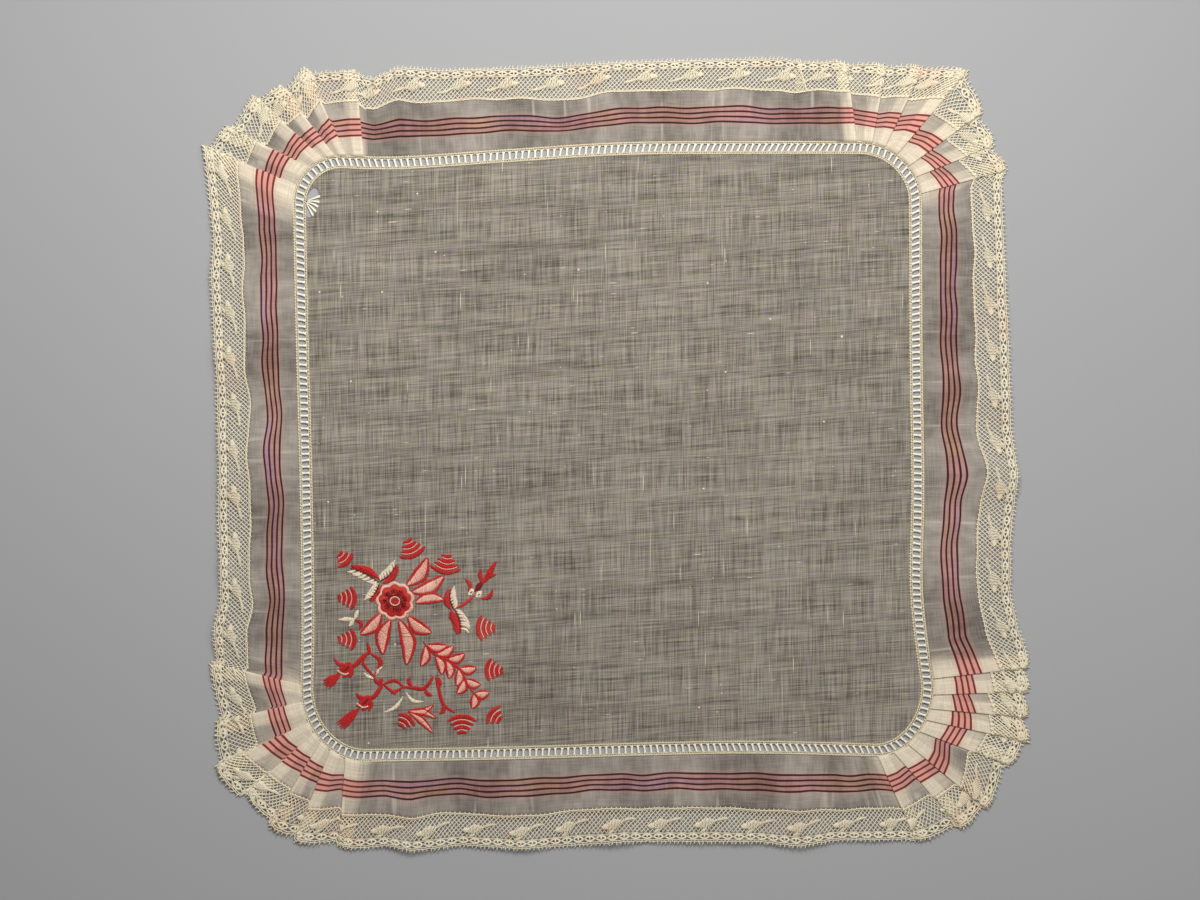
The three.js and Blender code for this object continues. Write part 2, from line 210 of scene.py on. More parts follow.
# For each corner: angle of the fold at the seam, angle at the rim, reach of its tip, step in behind the tip,
# how far out the stripes lie where the pleat begins and at its fold, and how much of it is doubled.
PLEATS = [
    [(99, 98, 54.8, 0.7, 0.3, 0.8, 0.5), (83, 81, 54, 0.7, 0.3, -0.6, 0.5),
     (69, 66, 57.7, 0.7, -0.9, 0.4, 0.6), (54, 51, 66, 2.5, -0.5, 2.6, 1), (36, 36, 58.5, 2.5, -4, 2, 0.9),
     (22, 22, 56.5, 2.5, -2.6, 1.2, 0.7), (4, 11, 58.5, 2.5, -1.8, 1.3, 0.6)],
    [(24, 13, 61.8, 2.5, 1.2, 4.2, 0.9), (8, 4, 60.5, 2.5, 1, 1.6, 1), (-7, -6, 60, 2.5, -0.4, 2.6, 0.9),
     (-21, -15, 62.6, 2.5, 1, 1.2, 1), (-36, -26, 58.8, 2.5, 1, 0.4, 1),
     (-56, -45, 61.6, 2.5, -1.8, 2, 0.7), (-74, -57, 61.5, 2.5, 1.2, -0.8, 1),
     (-92, -75, 58.6, 0.8, -2.4, 0.6, 0.7)],
    [(-104, -98, 59.5, 2.5, 0, 0.6, 0.5), (-121, -115, 62.6, 2.5, -1, 0.7, 0.8),
     (-134, -126, 62.6, 2.5, -1, -0.4, 0.6), (-146, -141, 59, -3, -0.8, 2.2, 1),
     (-158, -156, 63.9, 2.5, 0.4, 4, 1), (-180, -172, 58.5, 2.5, -1.8, -0.4, 0.7),
     (-196, -195, 62.4, 2.5, -1.6, 0.6, 0.7)],
    [(157, 157, 60.7, 2.5, 0, 0.8, 0.9), (131, 146, 56.5, 2.5, -1.6, 0.8, 0.5),
     (112, 129, 56.8, 2.5, -2, -0.2, 0.5), (98, 117, 54, 2.5, -2, 0, 0.6),
     (84, 105, 57.6, 2.5, -2, 0.8, 0.5), (65, 84, 54.4, 2.5, 0.2, 1.2, 0.5)],
]
print(sum(map(len, PLEATS)), "pleats")

# %% [markdown]
# ## Stations round the border
# Each row becomes a station: a place along the seam on the ladder, and a place on the lace's rim. A ripple
# stands square to the ladder. A fold edge runs from its angle at the seam to its own angle and reach at the
# rim.

# %% Stations
ROUNDED = [1, 0.8, 1, 0]  # for each corner: how much the lace is rounded off beside its folds

places = np.linspace(0, ROUND, 4800, endpoint=False)
seam_line = beside_ladder(places, LADDER / 2)


def at_angle(degrees):
    return np.array([np.cos(np.radians(degrees)), np.sin(np.radians(degrees))])


def ripple_station(side, row):
    at, width, lift, sway = row
    k = side % 2  # the top and bottom run along X, the others along Y
    far = np.sign(SIDES[side][0][1 - k]) * seam_line[:, 1 - k] < 0
    along = places[np.argmin(np.abs(seam_line[:, k] - at) + 1000 * far)]
    rim = beside_ladder(along, LADDER / 2 + width)
    return {"along": along, "rim": rim, "lift": lift, "start": 0, "end": sway, "fold": False, "step": 0}


def fold_station(corner, row):
    seam, rim, reach, step, start, end, cover = row
    centre = np.array(CORNER_CENTRES[corner])
    along = places[np.argmax(unit(seam_line - centre) @ at_angle(seam))]
    return {"along": along, "rim": centre + reach * at_angle(rim), "lift": 0, "start": start, "end": end,
            "fold": True, "step": step, "cover": cover, "rounded": ROUNDED[corner]}


stations = []
for i in range(4):
    stations += [ripple_station(i, row) for row in RIPPLES[i]]
    stations += [fold_station(i, row) for row in PLEATS[i]]
for before, after in zip(stations, stations[1:]):
    if after["along"] < before["along"]:
        after["along"] += ROUND
print(len(stations), "stations,", sum(s["fold"] for s in stations), "of them fold edges")

# %% [markdown]
# ## A pleat's section
# Seen from its end, a pleat comes out from under the fold before, goes up to its own fold edge, back
# underneath, and on. The section is a row of points: how far along each is, how high, whether other
# layers lie under it, because sheer cloth looks pale and solid where it is folded, and how near the fold
# edge it is, for a painted highlight along it.

# %% Section of a pleat
LOW = 0.5  # height of cloth that lies on the table
LAYER = 0.28  # from one layer of a pleat to the next
LONGEST_TUCK = 5.5
SHOWN, TURN, FLAT = 8, 6, 4  # points of half the shown part, of a turn and of a flat part underneath
UPPER = 2 * SHOWN + TURN + FLAT  # points of the two upper layers
UNDER = FLAT + TURN + FLAT  # points underneath
SECTION = 2 * SHOWN + TURN + UNDER


def ease(x):
    x = np.clip(x, 0, 1)
    return x * x * (3 - 2 * x)


def pleat_section(pitch, puff, start):
    tuck = min(0.55 * pitch, pitch - 1.6, LONGEST_TUCK)
    turn, middle, high = LAYER / 2, LOW + LAYER, LOW + 2 * LAYER + puff
    nose, valley = (high - middle) / 2, pitch - tuck
    single = np.linspace(0.12, 1, SHOWN) * (valley - turn - 0.2)
    double = np.linspace(valley - turn + 0.2, pitch - nose, SHOWN)
    shown = np.concatenate([single, double])
    lift_off = max(0.1, valley + 0.6 - 9)
    rise = start + (high - start) * ease((shown - lift_off) / (valley + 0.6 - lift_off))
    over = np.radians([65, 35, 0, -35, -65, -90])
    under = np.radians([115, 145, 180, 215, 245, 270])
    back = np.linspace(pitch - nose, valley, FLAT + 1)[1:]
    on = np.linspace(valley, pitch, FLAT + 1)[1:]
    soft = 0.2 * pitch
    doubled = ease((shown - valley + turn + soft / 2) / soft)
    edge = ease((shown - pitch + nose + 1.2) / 1.2)
    over_x, over_z = pitch - nose + nose * np.cos(over), middle + nose + nose * np.sin(over)
    under_x, under_z = valley + turn * np.cos(under), LOW + turn + turn * np.sin(under)
    parts = [  # distance along, height, layers underneath, nearness of the fold edge
        (shown, rise, doubled, edge),
        (over_x, over_z, np.ones(TURN), np.ones(TURN)),
        (back, np.full(FLAT, middle), np.ones(FLAT), np.zeros(FLAT)),
        (under_x, under_z, np.ones(TURN), np.zeros(TURN)),
        (on, np.full(FLAT, LOW), np.array([1, 1, 0.7, 0.2]), np.zeros(FLAT)),
    ]
    return np.hstack([np.vstack(part) for part in parts])


print(SECTION, "points in a section,", UNDER, "of them underneath")

# %% [markdown]
# ## Columns of cloth
# A column is a straight line across the strip, from the seam on the ladder to the lace's outer edge. In a
# pleat the section is worked out at the seam, where the pleats are narrow, and again at the rim, where they
# open out, and each column joins the two. Along the sides the columns pass from one ripple to the next.

# %% Columns of a pleat
# What a column holds: the points at its ends, the layers there (at the rim with a painted highlight along
# the fold edges), sway, share of plain cloth and rounding.
SEAM, RIM = slice(0, 3), slice(3, 6)
SEAM_LAYERS, RIM_LAYERS_AND_HIGHLIGHT, SWAY, PLAIN, TIP = range(6, 11)
TIP_LENGTH, TIP_DEPTH = 5.0, 2.4  # how far the lace is rounded off beside a fold edge
BULGE = 0.9  # how far it bulges outwards between two fold edges


def pulled_in(station):
    """Where the rim goes on behind a fold's tip, a step further in."""
    across = station["rim"] - beside_ladder(station["along"], LADDER / 2)
    return station["rim"] - unit(across) * station["step"]


def fold_columns(number, before, after):
    """The columns of one pleat, from the station before to its own fold edge and on underneath."""
    seam_pitch, start_rim = after["along"] - before["along"], pulled_in(before)
    rim_pitch = np.linalg.norm(after["rim"] - start_rim)
    puff = 0.2 + 0.15 * np.sin(2.4 * number)  # the pleats aren't pressed alike
    at_seam = pleat_section(seam_pitch, 0, LOW)
    at_rim = pleat_section(rim_pitch, puff, LOW + before["lift"])
    seam = beside_ladder(before["along"] + at_seam[0], LADDER / 2)
    rim = start_rim + np.outer(at_rim[0] / rim_pitch, after["rim"] - start_rim)
    shown = np.clip(at_rim[0] / rim_pitch, 0, 1)
    cover = after["cover"]
    least = 0.45 + 0.45 * cover
    spread = 0.1 + 2.2 * max(cover - 0.8, 0)  # the palest pleats have several layers under them
    near = np.ones(SECTION) if before["fold"] else ease(1.5 * shown - 0.3)
    seam_layers = near * (least + (1 - least) * at_seam[2])
    # The fold edge's nearness adds a painted highlight: the rim's layers rise along each fold edge, so the
    # cloth and its stripes are painted pale there.
    rim_layers_and_highlight = near * (cover * at_rim[2] + spread) + 0.55 * at_rim[3]
    order = np.arange(SECTION)
    hidden = np.clip((order - SECTION + UNDER + 1) / UNDER, 0, 1)
    start, end = after["start"] if before["fold"] else before["end"], after["end"]
    following = stations[(number + 1) % len(stations)]["start"]
    sway = np.where(hidden > 0, end + (following - end) * hidden, start + (end - start) * shown)
    plain = np.zeros(SECTION) if before["fold"] else 1 - ease(2 * shown)
    by_fold = np.clip(1 - (rim_pitch - at_rim[0]) / TIP_LENGTH, 0, 1) * (order < UPPER)
    tip = TIP_DEPTH * (1 - np.sqrt(1 - by_fold**2)) - BULGE * np.sin(np.pi * shown)
    layers, rounded = [seam_layers, rim_layers_and_highlight], after["rounded"] * tip
    return np.column_stack([seam, at_seam[1], rim, at_rim[1], *layers, sway, plain, rounded])


print("at three corners the lace is rounded off over", TIP_LENGTH, "mm beside a fold edge")

# %% Columns of the border
COLUMN_PITCH = 2.2  # between the columns of a ripple, at most


def ripple_columns(before, after):
    """The columns from one station to a ripple."""
    seam_pitch, start_rim = after["along"] - before["along"], pulled_in(before)
    steps = int(np.ceil(seam_pitch / COLUMN_PITCH))
    part = np.arange(1, steps + 1) / steps
    seam = beside_ladder(before["along"] + part * seam_pitch, LADDER / 2)
    rim = start_rim + np.outer(part, after["rim"] - start_rim)
    lift = before["lift"] + (after["lift"] - before["lift"]) * ease(part)
    beside_pleat = before["fold"] * (1 - ease(part * 2.5))
    start = after["start"] if before["fold"] else before["end"]
    sway = start + (after["end"] - start) * ease(part)
    plain = ease(part * 2) if before["fold"] else np.ones(steps)
    flat, layers = np.full(steps, LOW), [0.6 * beside_pleat, 0.1 * beside_pleat]
    return np.column_stack([seam, flat, rim, LOW + lift, *layers, sway, plain, np.zeros(steps)])


columns, station_columns = [], []
for i, after in enumerate(stations):
    before = dict(stations[i - 1])
    if i == 0:
        before["along"] -= ROUND
    columns.append(fold_columns(i, before, after) if after["fold"] else ripple_columns(before, after))
    station_columns.append(sum(map(len, columns)) - 1)
columns = np.vstack([*columns, columns[0][:1]])  # round to the start again

# Distances along the cloth are measured where the lace is, a fifth of the way in from the rim.
cloth_at = distances(columns[:, SEAM] * 0.2 + columns[:, RIM] * 0.8)
CLOTH_ROUND = cloth_at[-1]
print(f"{len(columns)} columns, {CLOTH_ROUND:.0f} mm of frill and lace")

# %% [markdown]
# ## A point anywhere on the border
# Stripes, lace threads and stitches are all easier to draw on the flat strip: so far along it, so far out
# from the seam. This function carries such points to the folded cloth. It also adds small wrinkles where
# the cloth isn't pleated. A second one gives the cloth's own upward direction, for things that stand on it.

# %% Carry flat points to the folded cloth
BORDER = 34.0  # width of the frill and the lace together, as cut
FRILL = 0.6 * BORDER  # the frill's share of it
WRINKLES = [(47, 0.30, 0.9, 0.2), (29, 0.22, 2.1, -0.5), (17, 0.12, 4.0, 0.8)]  # length, height, phase, slant


def lay(along, out, lift=None):
    along, out = np.broadcast_arrays(np.asarray(along, float), np.asarray(out, float))
    at = np.mod(along, CLOTH_ROUND)
    row = read_off(at, cloth_at, columns)
    seam, rim, plain = row[..., SEAM], row[..., RIM], row[..., PLAIN]
    share, in_lace = out / BORDER, np.clip((out - FRILL) / (BORDER - FRILL), 0, 1)
    point = seam + (rim - seam) * share[..., None]
    wave = 0
    for length, height, phase, slant in WRINKLES:
        wave = wave + height * np.sin(2 * np.pi * (at + slant * out) / length + phase)
    bend = (row[..., SWAY] + (0.5 + 0.9 * plain) * wave) * np.sin(np.pi * np.clip(share, 0, 1))
    point[..., :2] += unit((rim - seam)[..., :2]) * (bend - row[..., TIP] * in_lace**2)[..., None]
    point[..., 2] += plain * (wave + 0.5) * np.clip(share, 0, 1) * 0.9
    return point if lift is None else point + upward(along, out) * lift[..., None]


def upward(along, out, reach=0.12):
    ahead = lay(along + reach, out) - lay(along - reach, out)
    outward = lay(along, out + reach) - lay(along, out - reach)
    return unit(np.cross(ahead, outward))


print("a point of the rim:", lay(100.0, BORDER).round(1))

# %% [markdown]
# ## Threads by the thousand
# Rungs, stitches and the lace's mesh are thin strands, thousands of them. A modelled strand would be copied
# and bent for each place, so it is quicker to make all the strands of a piece as one mesh from arrays: a
# few rings of points along each path, joined by faces, with both ends closed.

# %% Strands
UP = np.array([0, 0, 1.0])


def tubes(path, normal, half_width, half_height, sides=4, loop=False):
    count, steps, _ = path.shape
    tangent = unit(np.roll(path, -1, 1) - np.roll(path, 1, 1) if loop else np.gradient(path, axis=1))
    aside = unit(np.cross(np.broadcast_to(normal, path.shape), tangent))
    above = np.cross(tangent, aside)
    width, height = (np.broadcast_to(x, (count, steps))[..., None, None] for x in (half_width, half_height))
    angle = ((np.arange(sides) + 0.5) / sides * 2 * np.pi)[:, None]
    ring = aside[:, :, None] * np.cos(angle) * width + above[:, :, None] * np.sin(angle) * height
    ring = ring / np.cos(np.pi / sides)  # the widths are measured over the flat sides
    points = (path[:, :, None] + ring).reshape(-1, 3)
    index = np.arange(count * steps * sides).reshape(count, steps, sides)
    a, b = (index, np.roll(index, -1, 1)) if loop else (index[:, :-1], index[:, 1:])
    quads = [np.stack([a, np.roll(a, -1, 2), np.roll(b, -1, 2), b], axis=-1).reshape(-1, 4)]
    if not loop:
        for k in range(1, sides - 1, 2):
            corners = [0, k, k + 1, k + 2]
            quads.append(index[:, 0, corners[::-1]])
            quads.append(index[:, -1, corners])
    return points, np.vstack(quads)


def join(parts):
    starts = np.cumsum([0, *(len(points) for points, _ in parts)])
    quads = [quads + start for (_, quads), start in zip(parts, starts)]
    return np.vstack([points for points, _ in parts]), np.vstack(quads)


rings, faces = tubes(np.array([[(0, 0, 0), (1, 0, 0), (2, 0, 0)]], float), UP, 0.1, 0.1)
print("a strand of three rings has", len(rings), "points and", len(faces), "faces")

# %% Pieces


def new_piece(name, points, quads, material=None):
    mesh = bpy.data.meshes.new(name)
    placed = (points + np.array([*SHIFT, 0])) * MM
    mesh.from_pydata(placed.tolist(), [], quads.tolist())
    mesh.polygons.foreach_set("use_smooth", np.ones(len(mesh.polygons), bool))
    mesh.update()
    if material:
        mesh.materials.append(material)
    piece = bpy.data.objects.new(name, mesh)
    bpy.context.collection.objects.link(piece)
    print(f"{name}: {2 * len(quads)} triangles")
    return piece


def only(piece):
    bpy.ops.object.select_all(action="DESELECT")
    piece.select_set(True)
    bpy.context.view_layer.objects.active = piece


def apply_modifier(piece, kind, **settings):
    only(piece)
    modifier = piece.modifiers.new(kind.title(), kind)
    for key, value in settings.items():
        setattr(modifier, key, value)
    bpy.ops.object.modifier_apply(modifier=modifier.name)


print("pieces are made in millimetres and moved by", SHIFT.round(2))

# %% [markdown]
# ## The linen centre
# The centre is one rounded square of sheer linen, with a worn half moon at its edge in the upper left. A
# grid is added and its points are moved: near the middle it stays square, as the threads are, and towards
# the edge it follows the ladder. Solidify gives it a thread's thickness and an oval cutter takes the worn
# hole out.

# %% Linen centre
PANEL_GRID = 120
PANEL_HEIGHT, PANEL_SWELL, PANEL_THICKNESS = 0.38, 0.12, 0.25
RIM_OF_GRID = 0.999999

bpy.ops.object.select_all(action="DESELECT")
bpy.ops.mesh.primitive_grid_add(x_subdivisions=PANEL_GRID, y_subdivisions=PANEL_GRID, size=2)
panel = bpy.context.object
panel.name = panel.data.name = "linen_centre"
flat = np.empty(len(panel.data.vertices) * 3)
panel.data.vertices.foreach_get("co", flat)
flat = flat.reshape(-1, 3)[:, :2]
reach = np.maximum(np.abs(flat).max(axis=1), 1e-6)
x, y = (flat / reach[:, None]).T
bends = [places[np.argmax(unit(seam_line - c) @ np.sign(c))] for c in np.array(CORNER_CENTRES, float)]
bends = [bends[3] - ROUND if bends[3] > bends[0] else bends[3], *bends[:3]]
bends.append(bends[0] + ROUND)  # where the four sides of the square begin and end on the ladder
sides = [(y > RIM_OF_GRID, (x + 1) / 2), (x > RIM_OF_GRID, (1 - y) / 2),
         (y < -RIM_OF_GRID, (1 - x) / 2), (x < -RIM_OF_GRID, (y + 1) / 2)]
round_at = np.zeros(len(flat))
for k in (3, 2, 1, 0):
    on_side, part = sides[k]
    round_at = np.where(on_side, bends[k] + (bends[k + 1] - bends[k]) * part, round_at)
border_point = beside_ladder(round_at, -LADDER / 2 + 0.1)
half = (border_point.max(axis=0) - border_point.min(axis=0)) / 2
middle = (border_point.max(axis=0) + border_point.min(axis=0)) / 2
pull = (reach**6)[:, None]
flat = (middle + flat * half) * (1 - pull) + (middle + (border_point - middle) * reach[:, None]) * pull
x, y = flat.T
swell = np.sin(x / 31 + 0.4) * np.sin(y / 37 + 1.1) + 0.5 * np.sin(x / 17 - y / 23)
height = PANEL_HEIGHT + PANEL_SWELL * swell * (1 - reach**4)
placed = np.column_stack([flat + SHIFT, height]) * MM
panel.data.vertices.foreach_set("co", placed.ravel())
apply_modifier(panel, "SOLIDIFY", thickness=PANEL_THICKNESS * MM, offset=0)
print("linen centre:", len(panel.data.polygons), "faces")

# %% Worn hole
HOLE = {"centre": (-121.6, 101.2), "half_width": 2.6, "half_length": 6.2, "lean": -14}

bpy.ops.object.select_all(action="DESELECT")
bpy.ops.mesh.primitive_cylinder_add(vertices=40, radius=1, depth=0.01)
cutter = bpy.context.object
cutter.scale = (HOLE["half_width"] * MM, HOLE["half_length"] * MM, 1)
cutter.rotation_euler[2] = np.radians(HOLE["lean"])
cutter.location = (*((np.array(HOLE["centre"]) + SHIFT) * MM), 0)
bpy.context.view_layer.update()
apply_modifier(panel, "BOOLEAN", operation="DIFFERENCE", object=cutter, solver="EXACT")
bpy.data.objects.remove(cutter)
only(panel)
bpy.ops.object.shade_smooth_by_angle(angle=np.radians(40))
print("with the hole:", len(panel.data.polygons), "faces")

# %% [markdown]
# ## The striped frill
# The frill is a strip of fine cotton with four dark red lines woven along it. Its mesh is the strip itself:
# a column of points for each column of the border, carried to the folds. Each point keeps its place on the
# flat strip and its layers in an attribute, with a painted highlight along the fold edges added to the
# layers, so the material can draw the stripes along the cloth wherever it goes.

# %% Striped frill
FRILL_ROWS = 18
FRILL_THICKNESS = 0.16

rows = np.linspace(0, FRILL, FRILL_ROWS)
at, out = np.meshgrid(cloth_at[:-1], rows, indexing="ij")
index = np.arange(at.size).reshape(at.shape)
a, b = index, np.roll(index, -1, 0)
quads = np.stack([a[:, :-1], b[:, :-1], b[:, 1:], a[:, 1:]], axis=-1).reshape(-1, 4)
frill = new_piece("frill_strip", lay(at, out).reshape(-1, 3), quads)
seam_layers, rim_layers_and_highlight = columns[:-1, [SEAM_LAYERS]], columns[:-1, [RIM_LAYERS_AND_HIGHLIGHT]]
layers = seam_layers + (rim_layers_and_highlight - seam_layers) * ease(rows / FRILL * 1.2 - 0.2)
place = np.column_stack([at.ravel(), out.ravel(), layers.ravel()])
frill.data.attributes.new("strip", "FLOAT_VECTOR", "POINT").data.foreach_set("vector", place.ravel())
apply_modifier(frill, "SOLIDIFY", thickness=FRILL_THICKNESS * MM, offset=0)

# %% [markdown]
# ## Materials as sums
# A cloth's colour is a sum of small causes: thick and thin threads, stripes, layers underneath. Shader
# nodes can add and multiply, but wiring them by hand is slow to read. This small class wraps a node's
# socket, so a material is written as ordinary arithmetic and each operation becomes one node.

# %% Shader arithmetic


def both_ways(operation):
    """Two methods: one for a wire before the sign, and one for a number before it, as in 1 - wire."""

    def forward(wire, other):
        return wire.math(operation, wire, other)

    def reflected(wire, other):
        return wire.math(operation, other, wire)

    return forward, reflected


class Wire:
    def __init__(self, tree, socket):
        self.tree, self.socket = tree, socket

    def node(self, kind, settings, sockets, out=0):
        made = self.tree.nodes.new("ShaderNode" + kind)
        for key, value in settings.items():
            setattr(made, key, value)
        for key, value in sockets.items():
            if isinstance(value, Wire):
                self.tree.links.new(value.socket, made.inputs[key])
            else:
                made.inputs[key].default_value = value
        return Wire(self.tree, made.outputs[out])

    def math(self, operation, *values):
        return self.node("Math", {"operation": operation}, dict(enumerate(values)))

    __add__, __radd__ = both_ways("ADD")
    __sub__, __rsub__ = both_ways("SUBTRACT")
    __mul__, __rmul__ = both_ways("MULTIPLY")
    __truediv__, __rtruediv__ = both_ways("DIVIDE")

    def step(self, low, high):
        """0 below low, 1 above high, and a soft slope between."""
        limits = {"Value": self, "From Min": low, "From Max": high}
        return self.node("MapRange", {"interpolation_type": "SMOOTHSTEP"}, limits)

    def between(self, low, high, slope):
        """1 from low to high, and a soft slope down to 0 beyond both."""
        return self.step(low - slope, low) * (1 - self.step(high, high + slope))

    def blend(self, first, second):
        """The first colour where this is 0, the second where it is 1."""
        return self.node("Mix", {"data_type": "RGBA"}, {0: self, 6: first, 7: second}, out=2)

    def noise(self, x, y, z, detail=2.0):
        """Noise that changes faster along an axis, the larger its number is."""
        place = self.node("VectorMath", {"operation": "MULTIPLY"}, {0: self, 1: (x, y, z)})
        return self.node("TexNoise", {}, {"Vector": place, "Scale": 1.0, "Detail": detail})

    def bump(self, strength, distance):
        return self.node("Bump", {}, {"Height": self, "Strength": strength, "Distance": distance})


print("materials are written with", [m for m in vars(Wire) if not m.startswith("_")])

# %% Colours and new materials


def colour(red, green, blue):
    """A colour as a screen shows it, 0 to 255, turned into the light that Blender works with."""
    shown = [value / 255 for value in (red, green, blue)]
    return (*(c / 12.92 if c < 0.04045 else ((c + 0.055) / 1.055) ** 2.4 for c in shown), 1)


def new_material(name, roughness, sheen):
    material = bpy.data.materials.new(name)
    material.use_nodes = True
    tree = material.node_tree
    shader = tree.nodes["Principled BSDF"]
    shader.inputs["Roughness"].default_value = roughness
    shader.inputs["Sheen Weight"].default_value = sheen
    shader.inputs["Specular IOR Level"].default_value = 0.2
    place = Wire(tree, tree.nodes.new("ShaderNodeTexCoord").outputs["Object"])
    return material, shader, place


def feed(shader, **wires):
    for key, wire in wires.items():
        wire.tree.links.new(wire.socket, shader.inputs[key.replace("_", " ")])


print("middle grey on a screen is", round(colour(128, 128, 128)[0], 2), "of the light")

# %% [markdown]
# ## Linen
# Linen thread is uneven, so the sheer centre has long streaks both ways and a few short bright slubs. The
# streaks are noise stretched along the thread. Three weak tints lie over them in soft patches.

# %% Linen
WEFT_TILT = -0.065  # radians, because the crosswise threads aren't quite level

linen, shader, place = new_material("linen", 0.85, 0.1)
tilted = place.node("Mapping", {}, {"Vector": place, "Rotation": (0, 0, WEFT_TILT)})
weft = tilted.noise(70, 2300, 0) * 0.5 + tilted.noise(40, 1200, 0) * 0.25 + tilted.noise(16, 230, 3) * 0.25
warp = place.noise(2100, 60, 5) * 0.8 + place.noise(300, 14, 8) * 0.2
cloudy = place.noise(22, 22, 0)
slub = tilted.noise(150, 1900, 0, 0).step(0.83, 0.89) + place.noise(1900, 55, 0, 0).step(0.81, 0.88)
slub = slub + place.noise(1500, 16, 0, 0).step(0.84, 0.9) * 0.8 + place.noise(560, 560, 0, 0).step(0.85, 0.9)
thread = weft * 0.6 + warp * 0.4
value = thread.step(0.36, 0.64) * 0.85 + cloudy * 0.3 - 0.08
cloth = value.blend(colour(70, 64, 57), colour(174, 166, 153))
cloth = (place.noise(170, 260, 2).step(0.48, 0.7) * 0.22).blend(cloth, colour(150, 152, 122))
cloth = (place.noise(190, 240, 9).step(0.48, 0.7) * 0.25).blend(cloth, colour(150, 134, 146))
cloth = (place.noise(60, 90, 4).step(0.5, 0.68) * 0.16).blend(cloth, colour(146, 152, 146))
feed(shader, Base_Color=slub.blend(cloth, colour(226, 218, 200)))
feed(shader, Alpha=0.9 + value * 0.08)
feed(shader, Normal=thread.bump(0.3, 0.0004))
panel.data.materials.append(linen)
print("linen:", len(linen.node_tree.nodes), "nodes")

# %% [markdown]
# ## Frill cotton
# The stripes are drawn across the strip from its attribute: four dark lines, with pink between them that
# drifts in colour along the strip. Where the cloth is doubled it is paler, because less shows through, and
# along each fold edge the layers carry a painted highlight. Soft patches of painted light and shade lie over
# the single cloth and the pink, and pale streaks of painted highlight stand for creases.

# %% Frill cotton
FIRST_LINE = 7.5  # from the seam to the first woven line
LINE_PITCH = 1.98
LAST_LINE = 3  # counted from 0

frill_cotton, shader, place = new_material("frill_cotton", 0.8, 0.15)
strip = place.node("Attribute", {"attribute_name": "strip"}, {}, out="Vector")
out, layers_and_highlight = (strip.node("SeparateXYZ", {}, {0: strip}, out=k) for k in (1, 2))
fibre = strip.noise(1.8, 0.12, 0) * 0.5 + strip.noise(0.1, 2.2, 0) * 0.5
line_number = (out - FIRST_LINE) / LINE_PITCH
off_line = line_number.math("ABSOLUTE", line_number - line_number.math("ROUND", line_number))
lines = (1 - off_line.step(0.15, 0.21)) * line_number.between(-0.45, LAST_LINE + 0.45, 0.05)
band = line_number.between(0, LAST_LINE, 0.3)
halo = line_number.between(-0.1, LAST_LINE + 0.1, 1.1)
# broad and soft are painted light and shade: soft patches where the strip would be lit or shaded, mixed below
# with the fibres' own tone.
broad, soft = strip.noise(0.037, 0.02, 2, 1.0), strip.noise(0.2, 0.12, 5, 1.0)
shade = broad.step(0.34, 0.64) * 0.46 + soft.step(0.34, 0.66) * 0.24 + fibre.step(0.34, 0.66) * 0.3
pink = strip.noise(0.03, 0, 0).step(0.42, 0.58).blend(colour(202, 143, 142), colour(194, 148, 122))
pink = strip.noise(0.021, 0.25, 7).step(0.5, 0.62).blend(pink, colour(190, 142, 164))
# Painted shade: where the patches are dark, the pink goes towards a shaded pink.
pink = shade.blend(colour(132, 90, 86), pink)
# Doubled cloth is paler, and the layers also carry a painted highlight along each fold edge.
pink = (layers_and_highlight * 0.75).blend(pink, colour(224, 148, 136))
# Painted highlight: pale streaks across the single cloth, where creases would catch the light.
painted_crease_highlight = strip.noise(0.4, 0.03, 4, 0).step(0.68, 0.84)
# Painted light and shade: the single cloth goes from a shaded colour to a lit one with the patches.
single = shade.blend(colour(102, 95, 89), colour(177, 169, 160))
single = (painted_crease_highlight * 0.4).blend(single, colour(222, 212, 200))
double = fibre.step(0.3, 0.7).blend(colour(204, 190, 168), colour(236, 225, 205))
cloth = layers_and_highlight.blend(single, double)
cloth = (halo * 0.22).blend(cloth, colour(216, 150, 140))
cloth = (band * 0.82).blend(cloth, pink)
maroon = layers_and_highlight.blend(colour(34, 6, 9), colour(112, 26, 28))
feed(shader, Base_Color=(lines * 0.95).blend(cloth, maroon))
feed(shader, Alpha=0.9 + layers_and_highlight * 0.1)
feed(shader, Normal=fibre.bump(0.35, 0.0003))
frill.data.materials.append(frill_cotton)
print("frill cotton:", len(frill_cotton.node_tree.nodes), "nodes")

# %% [markdown]
# ## Threads and floor
# All the sewing threads are made alike from three colours: a pale and a deep one for fibres that catch the
# light or don't, and a tint for patches along the work. The floor is a plain pale grey.

# %% Threads and floor


def thread_material(name, pale, deep, tint, sheen=0.25, roughness=0.7):
    material, shader, place = new_material(name, roughness, sheen)
    fibres = place.noise(2600, 2600, 2600)
    patches = place.noise(45, 45, 0)
    mixed = fibres.step(0.35, 0.65).blend(colour(*deep), colour(*pale))
    feed(shader, Base_Color=(patches.step(0.48, 0.68) * 0.55).blend(mixed, colour(*tint)))
    feed(shader, Normal=fibres.bump(0.4, 0.0002))
    return material


